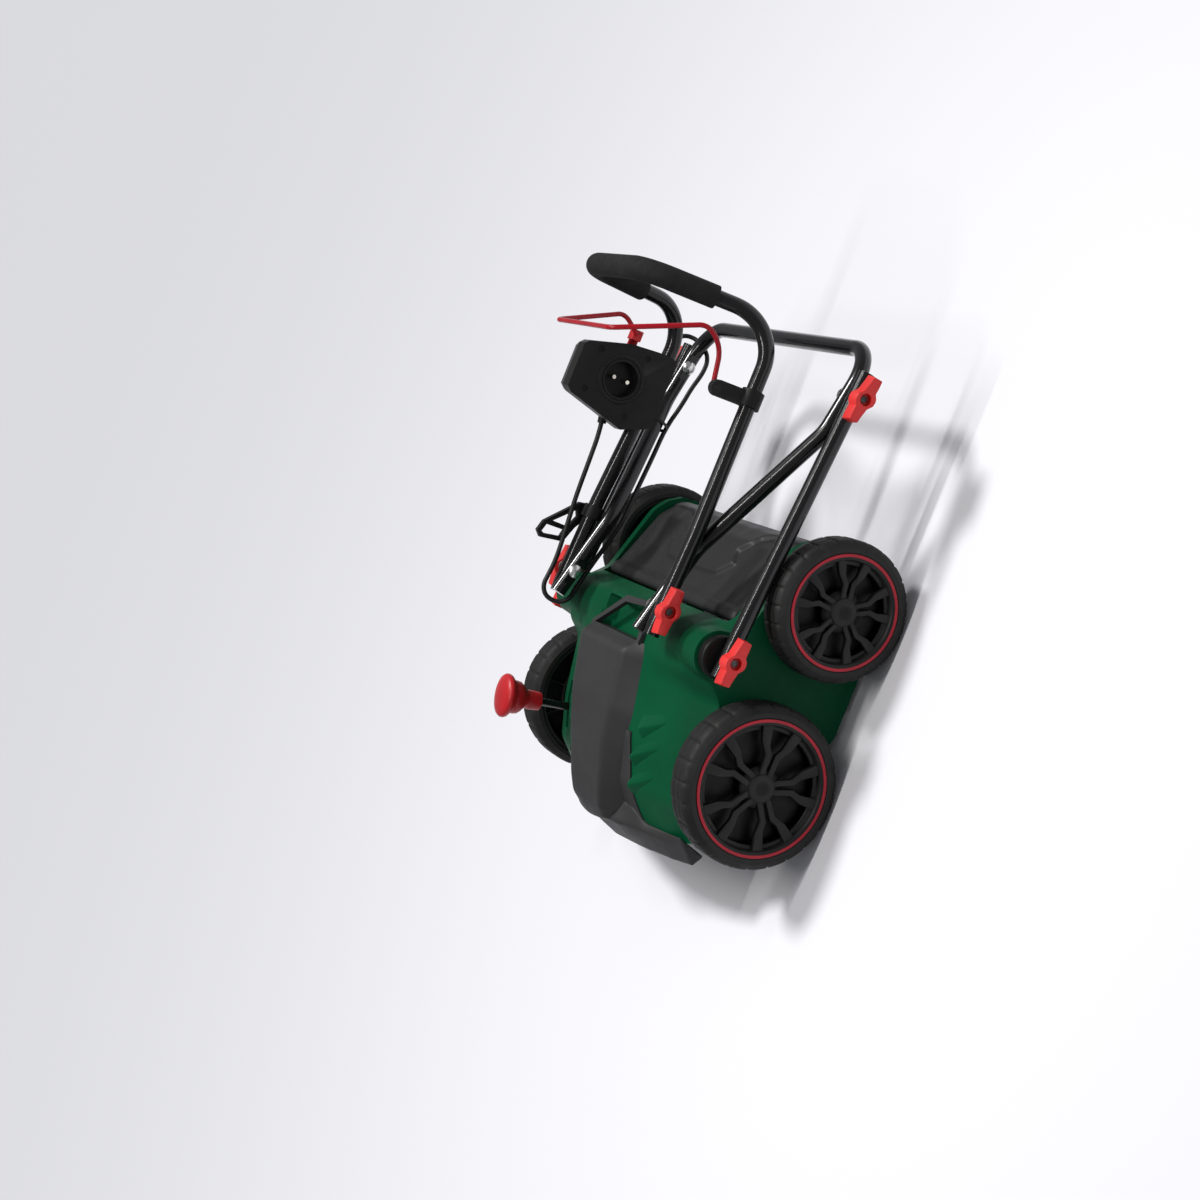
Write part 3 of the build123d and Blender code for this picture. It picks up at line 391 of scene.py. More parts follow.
pinNickel = surfaceFinish("pinNickel", {
    "color": (0.80, 0.77, 0.68), "shade": (0.7, 0.66, 0.56), "patchScale": 80, "rough": (0.15, 0.25),
    "gloss": 0.5, "grain": 1200, "bump": 0.1, "depth": 0.0001, "metal": 1})
rimBlack = surfaceFinish("rimBlack", {
    "color": (0.011, 0.011, 0.011), "shade": (0.008, 0.008, 0.008), "patchScale": 18, "rough": (0.42, 0.55),
    "gloss": 0.25, "grain": 1200, "bump": 0.2, "worn": (0.04, 0.04, 0.04), "wear": 0.4})
# near-black finish: painted shade in the rims' dishes, and the box screws' own black
screwBlackAndPaintedShade = surfaceFinish("screwBlackAndPaintedShade", {
    "color": (0.0020, 0.0020, 0.0020), "shade": (0.0012, 0.0012, 0.0012), "patchScale": 18,
    "rough": (0.35, 0.5), "gloss": 0.2, "grain": 900, "bump": 0.2})
tyreBlack = surfaceFinish("tyreBlack", {
    "color": (0.008, 0.008, 0.008), "shade": (0.011, 0.011, 0.0105), "patchScale": 24, "rough": (0.55, 0.7),
    "gloss": 0.25, "grain": 700, "bump": 0.35, "depth": 0.0004, "worn": (0.06, 0.06, 0.055), "wear": 0.5,
    "dust": (0.03, 0.028, 0.026), "dustScale": 120, "dustAmount": 0.25})
beltRubber = surfaceFinish("beltRubber", {
    "color": (0.02, 0.02, 0.02), "shade": (0.03, 0.03, 0.03), "patchScale": 30, "rough": (0.7, 0.85),
    "gloss": 0.3, "grain": 900, "bump": 0.4, "depth": 0.0003})
leadBlack = surfaceFinish("leadBlack", {
    "color": (0.008, 0.008, 0.008), "shade": (0.011, 0.011, 0.011), "patchScale": 40, "rough": (0.36, 0.5),
    "gloss": 0.3, "grain": 1200, "bump": 0.12})
print("finishes ready")

keptFinishes = {  # nodes shown in their own shape
    tubeBlack: ["left_strut", "right_strut", "middle_frame", "upper_handle", "depth_lever"],
    zincBright: ["motor_housing", "roller_bearings", "front_axle", "rear_axle", "flap_hinge_pin"],
    tineSteel: ["roller_shaft", "roller_tines", "motor_shaft"],
    coverGrey: ["motor_fan", "motor_pulley", "roller_pulley"],
    beltRubber: ["drive_belt"],
    pinNickel: ["inlet_pins"],
    redPaint: ["bail"],
    screwBlackAndPaintedShade: ["box_screws"],
    redPlastic: ["lock_button"],
}
for finish, names in keptFinishes.items():
    for name in names:
        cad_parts[name].data.materials.clear()
        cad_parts[name].data.materials.append(finish)


# Mains lead: one smooth line, cut where the handle parts meet

lead = {
    "radius": 3.0, "fineness": 8, "roundness": 4,
    "route": [
        (-150, 342, 272), (-150, 318, 267), (-148.3, 276, 266.2), (-151.8, 232, 263.5), (-151.8, 190, 259.8),
        (-151.8, 150, 256.5), (-151.8, 128, 258.5), (-151, 113, 260.5), (-147.5, 101, 253.5),
        (-141, 98.5, 238.5), (-135.5, 107, 227), (-134, 124, 224.4), (-134, 142, 220.6), (-134, 176, 211.5),
        (-134, 217, 200.1),
        (-153.1, 258, 189.9), (-183.3, 315, 172.9), (-205.6, 357, 161.7), (-207.1, 393, 151.8),
        (-209.7, 417, 147.2), (-208.7, 440, 140.7), (-214.7, 460, 137.7), (-232.7, 475, 141.7),
        (-245.7, 482, 152.7), (-251.7, 481, 166.7), (-249.7, 470, 176.7), (-245, 450, 173.3),
        (-245, 410, 174.4), (-245, 342, 179.2), (-245, 268, 185.1), (-245, 208, 190.7), (-245, 178, 194.5),
        (-243.5, 163, 199), (-239, 151.5, 208), (-229, 147, 217.5), (-214.6, 146, 217.5), (-204, 146, 207),
        (-204, 146, 190)],
    "cuts": {"upper_cable": (0, 5), "fold_cable": (5, 12), "frame_cable": (12, 19), "elbow_cable": (19, 27),
             "strut_cable": (27, 30), "deck_cable": (30, 37)},
    "riders": {"upper_cable": "upper_handle", "frame_cable": "middle_frame", "strut_cable": "lower_frame"},
    "bends": {  # the two bodies, and where the turn begins and ends
        "fold_cable": ("upper_handle", "middle_frame", (-148, 105, 257), (-138, 105, 226)),
        "elbow_cable": ("middle_frame", "lower_frame", (-213, 470, 155), (-244, 470, 155)),
        "deck_cable": ("lower_frame", "deck", (-244.5, 150, 205), (-209, 150, 205))},
}


def lineCurve(name, kind, places):
    curve = bpy.data.curves.new(name, "CURVE")
    curve.dimensions = "3D"
    curve.resolution_u = lead["fineness"]
    spline = curve.splines.new(kind)
    spline.points.add(len(places) - 1)
    for point, place in zip(spline.points, places):
        point.co = (*place, 1)
    return curve


def smoothLine(route):  # points of a NURBS line whose control points are the route
    curve = lineCurve("leadLine", "NURBS", [spot(*place) for place in route])
    curve.splines[0].order_u = 3
    curve.splines[0].use_endpoint_u = True
    holder = newObject("leadLine", curve)
    bpy.context.view_layer.update()
    sampled = bpy.data.meshes.new_from_object(holder.evaluated_get(bpy.context.evaluated_depsgraph_get()))
    points = [corner.co.copy() for corner in sampled.vertices]
    bpy.data.objects.remove(holder)
    bpy.data.meshes.remove(sampled)
    return points


def tubePiece(name, points, radius):
    curve = lineCurve(name, "POLY", points)
    curve.bevel_depth = radius / 1000
    curve.bevel_resolution = lead["roundness"]
    curve.use_fill_caps = True
    pick(newObject(name, curve))
    bpy.ops.object.convert(target="MESH")
    piece = bpy.context.object
    cleanMesh(piece)
    return piece


def makeLead():
    line = smoothLine(lead["route"])
    middles = [(spot(*a) + spot(*b)) / 2 for a, b in zip(lead["route"], lead["route"][1:])]

    def indexNear(place):
        return min(range(len(line)), key=lambda i: (line[i] - place).length)

    for name, (first, last) in lead["cuts"].items():
        start = 0 if first == 0 else indexNear(middles[first])
        stop = len(line) - 1 if last == len(middles) else indexNear(middles[last])
        piece = tubePiece("lead_" + name, line[start:stop + 1], lead["radius"])
        if name in lead["riders"]:
            dress(piece, lead["riders"][name], leadBlack, "cable_rubber", name, angle=50)
        else:
            bpy.ops.object.shade_smooth_by_angle(angle=math.radians(50))
            piece.data.materials.append(leadBlack)
            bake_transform(piece)
            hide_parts(name)


makeLead()
print("lead laid")


# Wheels

wheel = {
    "face": 271.0, "rimSteps": 160, "tyreSteps": 216, "grooveEvery": 9, "grooveDepth": 1.3,
    # last on the next line: the two depths between which the rim's dish is painted near-black as shade
    "grooveReach": 5.0, "tyreHeight": 15.0, "width": 46.0, "rimGap": 0.1, "hollow": (-24.5, -9.2),
    "sizes": {"front": (0.0, 95.0), "rear": (216.0, 82.0)},  # place along Y, radius
    "turn": {"front": 1.0, "rear": 10.0},
    "spokePairs": 5, "spokeHeights": (-11.0, -3.4), "spokeEdge": 1.1,
    "ribCount": 10, "ribHeights": (-34.0, -24.5), "ribStart": 14, "ribEnd": 8,
    "drawnFor": 80,  # radius of the rim that the next two are drawn for
    "spoke": [(13, 1.8), (40, 2.6), (49, 8.6), (73, 14.2), (72, 28), (50, 19.2), (37, 9.4), (13, 8.2)],
    "innerRing": [(-24, 46), (-33, 46.5), (-33, 49), (-24, 49.5), (-24, 46)],
}


def tyreProfile(radius):  # height 0 is the outer face, rubber runs inward to -width
    seat = radius - wheel["tyreHeight"]
    back = -wheel["width"]
    return [(back + 1, seat), (-1.2, seat), (0, seat + 1.4), (0, radius - 8.5), (-0.6, radius - 7.6),
            (-1.6, radius - 6.6), (-3.8, radius - 3), (-7, radius - 0.7), (-11, radius), (-16, radius),
            (-17, radius - 1), (-18, radius), (-28, radius), (-29, radius - 1), (-30, radius),
            (back + 11, radius), (back + 7, radius - 0.7), (back + 3.8, radius - 3),
            (back + 1.6, radius - 6.6), (back, radius - 8.5), (back, seat + 1.4), (back + 1, seat)]


def makeTyre(name, radius):
    piece = turnedPiece(name, Matrix(), tyreProfile(radius), wheel["tyreSteps"])
    stepAngle = 2 * math.pi / wheel["tyreSteps"]
    for corner in piece.data.vertices:
        distance = math.hypot(corner.co.x, corner.co.y) * 1000
        index = round(math.atan2(corner.co.y, corner.co.x) / stepAngle)
        if distance > radius - wheel["grooveReach"] and index % wheel["grooveEvery"] == 0:
            shrink = (distance - wheel["grooveDepth"]) / distance
            corner.co.x *= shrink
            corner.co.y *= shrink
    return piece


def rimProfile(outer):
    return [(-44, outer), (-1.4, outer), (-0.5, outer - 0.3), (-0.5, outer - 4.4), (-1, outer - 5),
            (-1.6, outer - 7), (-3.2, outer - 8.2), (-7.5, outer - 9), (-8.2, outer - 9.6),
            (-8.6, outer - 13), (-9.6, outer - 13.8), (-22, outer - 14.5), (-22, 26), (-11, 25), (-9.6, 24.2),
            (-5.2, 17.6), (-4.6, 16.6), (-2.6, 16), (-1.8, 15), (-1.4, 12), (-1.3, 0.01), (-1.5, 0.01),
            (-30, 0.012), (-30, 9), (-36, 9), (-36, 15), (-25, 16), (-25, outer - 12), (-40, outer - 5),
            (-44, outer - 4), (-44, outer)]


def spokeOutline(outer, side):
    scale = outer / wheel["drawnFor"]
    points = [(x * scale, y * scale * side) for x, y in wheel["spoke"]]
    return points if side > 0 else points[::-1]


def makeRim(name, outer):
    piece = turnedPiece(name, Matrix(), rimProfile(outer), wheel["rimSteps"])
    arms = []
    for pair in range(wheel["spokePairs"]):
        for side in (1, -1):
            arm = slabPiece("spoke", spokeOutline(outer, side), *wheel["spokeHeights"])
            roundEdges(arm, wheel["spokeEdge"], 3)
            arm.data.transform(Matrix.Rotation(math.radians(360 / wheel["spokePairs"] * pair), 4, "Z"))
            arms.append(arm)
    start, end = wheel["ribStart"], outer - wheel["ribEnd"]
    for rib in range(wheel["ribCount"]):  # stiffening ribs on the hidden side
        plate = slabPiece("rib", [(start, -1), (end, -1), (end, 1), (start, 1)], *wheel["ribHeights"])
        plate.data.transform(Matrix.Rotation(2 * math.pi * (rib + 0.5) / wheel["ribCount"], 4, "Z"))
        arms.append(plate)
    ring = [(height, radius * outer / wheel["drawnFor"]) for height, radius in wheel["innerRing"]]
    arms.append(turnedPiece("innerRing", Matrix(), ring, wheel["rimSteps"]))
    return joinPieces(piece, *arms)


def makeRing(name, outer):  # painted line round the rim's edge
    profile = [(-1.0, outer - 0.3), (-0.2, outer - 0.4), (0, outer - 0.8), (0, outer - 3.4),
               (-0.2, outer - 3.8), (-1.0, outer - 3.9), (-1.0, outer - 0.3)]
    return turnedPiece(name, Matrix(), profile, wheel["rimSteps"])


def makeWheels():
    for end, (y, radius) in wheel["sizes"].items():
        outer = radius - wheel["tyreHeight"] - wheel["rimGap"]
        models = {"tyre": makeTyre("tyre", radius), "rim": makeRim("rim", outer),
                  "ring": makeRing("ring", outer)}
        # faces deep in the rim's dish get the near-black finish, as painted shade
        floor, brim = wheel["hollow"]
        paintedShadeFaces = [floor < face.center.z * 1000 < brim for face in models["rim"].data.polygons]
        models["rim"].data.transform(Matrix.Rotation(math.radians(wheel["turn"][end]), 4, "Z"))
        for side, way in sides.items():
            place = Matrix.Translation(spot(way * wheel["face"], y, radius)) @ outward(way)
            body = f"{side}_{end}_wheel"
            tyre = copyPiece(models["tyre"], f"{side}_{end}_tread", place)
            dress(tyre, body, tyreBlack, "tyre_black", f"{side}_{end}_tyre", angle=28)
            rim = copyPiece(models["rim"], f"{side}_{end}_spokes", place)
            dress(rim, body, rimBlack, "rim_black", f"{side}_{end}_rim", angle=28)
            # second finish: painted shade for the dish faces
            rim.data.materials.append(screwBlackAndPaintedShade)
            for face, inPaintedShade in zip(rim.data.polygons, paintedShadeFaces):
                face.material_index = 1 if inPaintedShade else 0
            ring = copyPiece(models["ring"], f"{side}_{end}_ring", place)
            dress(ring, body, ringRed, "red_paint", angle=40)
        for model in models.values():
            bpy.data.objects.remove(model)


makeWheels()
print("wheels turned")


# Wing nuts

wingNut = {
    "height": 16.0, "bore": 4.05, "recess": 6.8, "recessFloor": 8.0, "edge": 1.5, "lean": (0.95, 0.9),
    "drillPast": 2, "flare": 0.3, "drillSteps": 32,
    "half": [(-27.8, -5.2), (-20, -6.0), (-9, -7.6), (-2, -13.0), (3, -13.3), (7, -12.0), (11.5, -8.2),
             (20, -8.0), (27.5, -7.2), (28.5, -6.4)],
    "tilts": {"boss": -5.0, "elbow": -9.0, "upper": 0.0},
}


def makeNut(name):
    outline = wingNut["half"] + [(-x, -y) for x, y in wingNut["half"]]
    piece = slabPiece(name, outline, 0, wingNut["height"])
    leanX, leanY = wingNut["lean"]
    for corner in piece.data.vertices:  # wings lean in towards the top
        if corner.co.z > wingNut["height"] / 2000:
            corner.co.x *= leanX
            corner.co.y *= leanY
    bore, recess, floor = wingNut["bore"], wingNut["recess"], wingNut["recessFloor"]
    low, high = -wingNut["drillPast"], wingNut["height"] + wingNut["drillPast"]
    profile = [(low, 0.01), (low, bore), (floor, bore), (floor, recess), (high, recess + wingNut["flare"]),
               (high, 0.01)]
    drill = turnedPiece("drill", Matrix(), profile, wingNut["drillSteps"])
    applyModifier(piece, "BOOLEAN", object=drill, operation="DIFFERENCE", solver="EXACT")
    bpy.data.objects.remove(drill)
    roundEdges(piece, wingNut["edge"], 3, 30)
    return piece


def makeNuts():
    model = makeNut("nut")
    for pair, tilt in wingNut["tilts"].items():
        for side, way in sides.items():
            node = f"{side}_{pair}_nut"
            low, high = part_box(node)
            seat = low.x if way > 0 else high.x
            middle = (seat, (low.y + high.y) / 2, (low.z + high.z) / 2)
            lean = Matrix.Rotation(math.radians(tilt), 4, "Z")
            place = Matrix.Translation(middle) @ outward(way) @ lean
            nut = copyPiece(model, f"{side}_{pair}_wings", place)
            dress(nut, node, redPlastic, "red_plastic", node)
    bpy.data.objects.remove(model)


makeNuts()
print("wing nuts copied")


# Deck moulding

deck = {
    "halfWidth": 222.0, "crease": 180.0, "crownEdge": 86.0, "wall": 3.0, "drop": 19.0, "rearDrop": 10.0,
    "crown": [(-103, 128), (-64, 163), (-9, 184), (98, 208), (140, 208), (163, 170), (256, 141), (278, 123),
              (283, 105)],
    "shoulder": [(-103, 104), (-86, 123), (-60, 147), (-6, 164.5), (52, 174.5), (70, 178), (89, 200),
                 (140, 206), (163, 170), (256, 141), (278, 123), (283, 105)],
    "lower": [(-103, 92), (-60, 74), (20, 45), (75, 6), (160, 6), (248, 30), (283, 62)],
    "softAlong": 6, "softLower": 8, "softAcross": 4, "dropChange": (140, 163),
    "places": [-103, -48, 14, 58, 140, 158, 163, 256, 278, 283], "step": 3.0,  # grid lines along Y
    "across": [([0, 64, 86], 8), ([86, 142, 158, 180], 3.1), ([180, 192, 222], 3.0)], "sideSteps": 16,
    "nose": (1, 6, 92), "tail": (1, -1, 62), "endSteps": 4,
    "opening": (192.0, 158.0), "window": (64.0, -48.0, 58.0), "slot": (-158.0, -142.0, -46.0, 14.0),
    "turret": (118.6, 183.5, 29.0, 92.0, 176.0),  # middle y and z, radius, from x to x
    "pocket": [(-64, 70), (67, 70), (68, 100), (61, 137), (-1, 133), (-64, 95)],
    "pocketDepth": 16.0, "pocketEdge": 4, "corner": (140.0, -50.0, 18.0, 53.0),
    "cheek": (0, 0, -45.0), "rearWall": (0, -4.0, -20.0), "cheekReach": 1.5, "wallReach": 0.5,
}


def deckLevels(y):  # heights of the crown, the shoulder and the outer edge
    crown = softLevel(deck["crown"], y, deck["softAlong"])
    shoulder = softLevel(deck["shoulder"], y, deck["softAlong"])
    front, back = deck["dropChange"]
    rear = easeStep((y - front) / (back - front))
    return crown, shoulder, shoulder - (deck["drop"] * (1 - rear) + deck["rearDrop"] * rear)


def deckTop(x, y):  # height of the deck's upper side
    crown, shoulder, edge = deckLevels(y)
    line = [(deck["crownEdge"], crown), (deck["crease"], shoulder), (deck["halfWidth"], edge)]
    return softLevel(line, abs(x), deck["softAcross"])


def turretRise(x, y, level):  # swelling round the handle's pivot
    centerY, centerZ, radius, start, full = deck["turret"]
    off = abs(y - centerY)
    if off >= radius:
        return 0
    top = centerZ + math.sqrt(radius ** 2 - off ** 2)
    return max(0, top - level) * easeStep((abs(x) - start) / (full - start))


def deckSection(y):  # near half across X: top, shoulder, side, each as (x, z)
    crown, shoulder, edge = deckLevels(y)
    lower = softLevel(deck["lower"], y, deck["softLower"])
    line = [(0, crown), (deck["crownEdge"], crown), (deck["crease"], shoulder),
            (deck["halfWidth"], edge), (deck["halfWidth"], lower)]
    marks = [stations(lines, step) for lines, step in deck["across"]] + [None]
    points = []
    walked = 0
    for index, (start, end) in enumerate(zip(line, line[1:])):
        length = math.dist(start, end)
        isSide = marks[index] is None
        if isSide:
            shares = [i / deck["sideSteps"] for i in range(deck["sideSteps"] + 1)]
        else:
            shares = [(x - start[0]) / (end[0] - start[0]) for x in marks[index]]
        for share in shares[1 if points else 0:]:
            x, z = softPoint(line, walked + share * length, deck["softAcross"])
            if isSide and share == 1:
                x, z = end
            if not isSide:
                z += turretRise(x, y, z) - pocketDrop(x, y)
            points.append((min(x, deck["halfWidth"]), z))
        walked += length
    return points


def pocketDrop(x, y):  # air pocket behind the bonnet
    inside = max(edgeDistance(deck["pocket"], x, y), 0)
    return deck["pocketDepth"] * easeStep(inside / deck["pocketEdge"])


def cornerBack(x, y):  # front corners are rounded off in plan
    start, rear, depth, run = deck["corner"]
    return depth * easeStep((abs(x) - start) / (deck["halfWidth"] - start)) * easeStep((rear - y) / run)


def pullEdges(piece, chosen, move):  # edges with both ends chosen, drawn out into a wall
    startSelection(piece, "EDGE")
    for edge in piece.data.edges:
        ends = [piece.data.vertices[i].co for i in edge.vertices]
        edge.select = all(chosen(abs(p.x) * 1000, (p.y - frontHub.y) * 1000) for p in ends)
    setMode("EDIT")
    bpy.ops.mesh.extrude_region_move(TRANSFORM_OT_translate={"value": [step / 1000 for step in move]})
    setMode("OBJECT")


def makeDeck():
    rows = []
    for y in stations(deck["places"], deck["step"]):
        half = deckSection(y)
        line = [(-x, z) for x, z in half[:0:-1]] + half
        rows.append([spot(x, y + cornerBack(x, y), z) for x, z in line])
    nose, tail = closingRow(rows[0], *deck["nose"]), closingRow(rows[-1], *deck["tail"])
    rows = [nose] + rowsBetween(nose, rows[0], deck["endSteps"]) + rows
    rows = rows + rowsBetween(rows[-1], tail, deck["endSteps"]) + [tail]
    piece = gridPiece("deck_moulding", rows)
    openX, openY = deck["opening"]
    windowX, windowFront, windowRear = deck["window"]
    slotLow, slotHigh, slotFront, slotRear = deck["slot"]
    startSelection(piece, "FACE")
    for face in piece.data.polygons:
        x, y = face.center.x * 1000, (face.center.y - frontHub.y) * 1000
        inOpening = abs(x) < openX and y > openY
        inWindow = abs(x) < windowX and windowFront < y < windowRear
        inSlot = slotLow < x < slotHigh and slotFront < y < slotRear
        face.select = inOpening or inWindow or inSlot
    setMode("EDIT")
    bpy.ops.mesh.delete(type="FACE")
    sideReach, frontReach = deck["cheekReach"], deck["wallReach"]  # wall before the flap, cheeks beside it
    pullEdges(piece, lambda x, y: x < openX + sideReach and abs(y - openY) < frontReach, deck["rearWall"])
    pullEdges(piece, lambda x, y: abs(x - openX) < sideReach and y > openY - frontReach, deck["cheek"])
    for corner in piece.data.vertices:  # cheeks end no lower than the deck's own edge
        if corner.select:
            lower = softLevel(deck["lower"], (corner.co.y - frontHub.y) * 1000, deck["softLower"])
            corner.co.z = max(corner.co.z, min(lower / 1000, corner.co.z - deck["cheek"][2] / 1000))
    cleanMesh(piece)
    applyModifier(piece, "SOLIDIFY", thickness=deck["wall"] / 1000, offset=-1)
    dress(piece, "deck", deckGreen, "deck_green", "deck_shell", angle=32)


makeDeck()
print("deck moulded")


# Louvres on the deck's slopes

louvres = {
    "columns": 16, "sink": 0.8, "leverSide": 136.0,
    # high end of the crest as (x, y, height), its foot and back as (x, y),
    # then the two ends of the edge where the wedge runs out
    "wedges": [
        ((109, 4, 6.5), (111, -6), (106, 20), (156, 26), (157, 40)),
        ((98, -31, 6.5), (100, -40), (104, -16), (153, -4), (149, 10)),
        ((95, -64, 6.5), (95, -73), (98, -50), (146, -40), (144, -26)),
    ],
    # from foot to back: share of the way to the crest and back again, share of the height
    "shape": [(0, 0), (0.45, 0.5), (0.85, 0.93), (1, 1), (1.1, 0.97), (1.35, 0.74), (1.65, 0.38), (2, 0)],
}


def louvreWedge(crest, foot, back, tip, far):
    rows = []
    for way, lift in louvres["shape"]:
        side = foot if way <= 1 else back
        mix = way if way <= 1 else 2 - way
        x0, y0 = [low + (high - low) * mix for high, low in zip(crest, side)]
        endX, endY = [near + (away - near) * max(0, way - 1) for near, away in zip(tip, far)]
        row = [spot(x0, y0, deckTop(x0, y0) - louvres["sink"])]
        for column in range(louvres["columns"] + 1):
            share = column / louvres["columns"]
            x, y = x0 + (endX - x0) * share, y0 + (endY - y0) * share
            height = (crest[2] * lift + louvres["sink"]) * (1 - share) - louvres["sink"]
            row.append(spot(x, y, deckTop(x, y) + height))
        rows.append(row)
    return gridPiece("louvre", rows)


def makeLouvres():
    pieces = [louvreWedge(*wedge) for wedge in louvres["wedges"]]
    for *start, tip, far in louvres["wedges"]:  # shorter beside the depth lever
        ends = [(min(x, louvres["leverSide"]), y) for x, y in (tip, far)]
        piece = louvreWedge(*start, *ends)
        pick(piece)
        bpy.ops.transform.mirror(constraint_axis=(True, False, False), center_override=(0, 0, 0))
        bpy.ops.object.transform_apply()
        pieces.append(piece)
    piece = joinPieces(*pieces)
    piece.name = piece.data.name = "deck_louvres"
    cleanMesh(piece)
    dress(piece, "deck", deckGreen, "deck_green", angle=24)


makeLouvres()
print("louvres laid on")


# Motor bonnet

bonnet = {
    # along Y: half width at the foot, half width at the ridge, foot height, ridge height
    "stations": [(97, 88.5, 71, 203, 212), (82, 88.5, 67, 200, 226), (14, 88.5, 61, 185, 212),
                 (-29, 80.5, 52, 172, 199.5), (-85, 66.5, 46, 143, 177.5), (-113, 56, 42.5, 139, 162.5),
                 (-120, 53, 40, 137, 152)],
    "places": [-120, -113, -85, 82, 97], "step": 3.0, "counts": (3, 16, 30, 16, 3), "hem": 6.0, "wall": 2.5,
    "edge": 3.5, "soft": 5, "bow": 6.0, "bowWidth": 45, "bowFrom": -100.0, "bowRun": 18,
    "nose": (0.97, -1, 130), "tail": (1, 2, 196), "endSteps": 3,
}


def bonnetValue(index, y):
    line = sorted((station[0], station[index]) for station in bonnet["stations"])
    return softLevel(line, y, bonnet["soft"])


def makeBonnet():
    rows = []
    for y in stations(bonnet["places"], bonnet["step"]):
        foot, top, low, high = [bonnetValue(i, y) for i in (1, 2, 3, 4)]
        hem = low - bonnet["hem"]
        line = [(-foot, hem), (-foot, low), (-top, high), (top, high), (foot, low), (foot, hem)]
        lengths = [math.dist(a, b) for a, b in zip(line, line[1:])]
        walked = 0
        points = []
        for index, length in enumerate(lengths):
            count = bonnet["counts"][index]
            for i in range(0 if index == 0 else 1, count + 1):
                x, z = softPoint(line, walked + length * i / count, bonnet["edge"])
                bow = easeStep((bonnet["bowFrom"] - y) / bonnet["bowRun"])  # nose bows out
                back = bonnet["bow"] * (x / bonnet["bowWidth"]) ** 2 * bow
                points.append(spot(x, y + back, z))
            walked += length
        rows.append(points)
    nose, tail = closingRow(rows[0], *bonnet["nose"]), closingRow(rows[-1], *bonnet["tail"])
    rows = [nose] + rowsBetween(nose, rows[0], bonnet["endSteps"]) + rows
    rows = rows + rowsBetween(rows[-1], tail, bonnet["endSteps"]) + [tail]
    piece = gridPiece("bonnet_cover", rows)
    cleanMesh(piece)
    applyModifier(piece, "SOLIDIFY", thickness=bonnet["wall"] / 1000, offset=-1)
    dress(piece, "deck", coverGrey, "cover_grey", "motor_bonnet", angle=45)


makeBonnet()
print("bonnet shaped")


# Bumper bar across the nose, with arms beside the bonnet

bumper = {
    # x, then rear edge y, front top, front bottom and back as (y, z)
    "sections": [
        (0, -86, (-116, 152), (-134, 108), (-100, 98)), (58, -84, (-113, 148), (-131, 106), (-99, 97)),
        (88, -86, (-108.5, 137), (-129, 105), (-98, 96)), (104, -97, (-107, 132), (-127, 103), (-98, 94)),
        (140, -95, (-105, 121), (-124, 98), (-101, 88)), (176, -92, (-101, 111), (-119, 91), (-104, 81))],
    "step": 3.0, "soft": 5, "lift": 2.5, "edge": 3.0, "steps": 48, "capShare": 0.75, "capOut": 1.8,
    "armEnds": [-100, -4], "armStep": 4.0, "armSoft": 4, "armRun": 1,
    "armInner": [(-100, 60), (-4, 80)], "armOuter": [(-100, 103), (-85, 97), (-50, 95), (-4, 90)],
    "armAcross": [(0, -0.8), (0, 2.2), (0.06, 2.9), (0.5, 3), (0.94, 2.9), (1, 2.2), (1, -0.8)],
}


def bumperSection(x):
    values = [[place, rear, *top, *low, *back] for place, rear, top, low, back in bumper["sections"]]
    rear, topY, topZ, lowY, lowZ, backY, backZ = [
        softLevel([(value[0], value[i]) for value in values], abs(x), bumper["soft"]) for i in range(1, 8)]
    middle = ((lowY + backY) / 2, (lowZ + backZ) / 2)
    ridge = (rear, deckTop(x, rear) + bumper["lift"])
    loop = [middle, (backY, backZ), ridge, (topY, topZ), (lowY, lowZ), middle]
    total = sum(math.dist(a, b) for a, b in zip(loop, loop[1:]))
    return [softPoint(loop, total * i / bumper["steps"], bumper["edge"]) for i in range(bumper["steps"])]


def makeBumper():
    half = bumper["sections"][-1][0]
    rows = []
    for x in stations([-half, half], bumper["step"]):
        points = bumperSection(x)
        rows.append([spot(x, y, z) for y, z in points + points[:1]])
    for end, way in ((0, -1), (-1, 1)):  # rounded ends
        middle = sum(rows[end][:-1], Vector()) / bumper["steps"]
        out = Vector((way * bumper["capOut"] / 1000, 0, 0))
        cap = [middle.lerp(p, bumper["capShare"]) + out for p in rows[end]]
        closed = [middle + out for p in rows[end]]
        rows = [closed, cap] + rows if way < 0 else rows + [cap, closed]
    bar = gridPiece("bumper_bar", rows)
    arms = []
    for side in (1, -1):
        lines = []
        for y in stations(bumper["armEnds"], bumper["armStep"]):
            inner, outer = [softLevel(bumper[key], y, bumper["armSoft"]) for key in ("armInner", "armOuter")]
            line = []
            for share, lift in bumper["armAcross"]:
                x = inner + (outer - inner) * share
                line.append(spot(side * x, y, deckTop(x, y) + lift))
            lines.append(line)
        lines.append(closingRow(lines[-1], 1, bumper["armRun"], lines[-1][0].z * 1000))
        arms.append(gridPiece("arm", lines))
    piece = joinPieces(bar, *arms)
    cleanMesh(piece)
    dress(piece, "deck", coverGrey, "cover_grey", "front_bumper", angle=40)


makeBumper()
print("bumper swept")


# Rear flap with its raised middle

flap = {
    "halfWidth": 189.0, "wall": 3.0, "step": 4.0, "soft": 3.2,
    "line": [(159.6, 154), (158.8, 163.5), (162, 169.2), (171, 168.2), (254, 136.5), (273, 120),
             (280, 101), (280, 62)],
    "raised": [(-60, 203), (44, 204), (72, 206), (96, 224), (83, 235), (80, 241), (95, 254), (100, 264),
               (125, 273), (205, 274), (205, 400), (-60, 400)],
    "dropFrom": 24.0, "dropRun": 14.0, "bendSoft": 4, "rollWidth": 4, "rollDepth": 3, "grid": (2.2, 2.0),
}


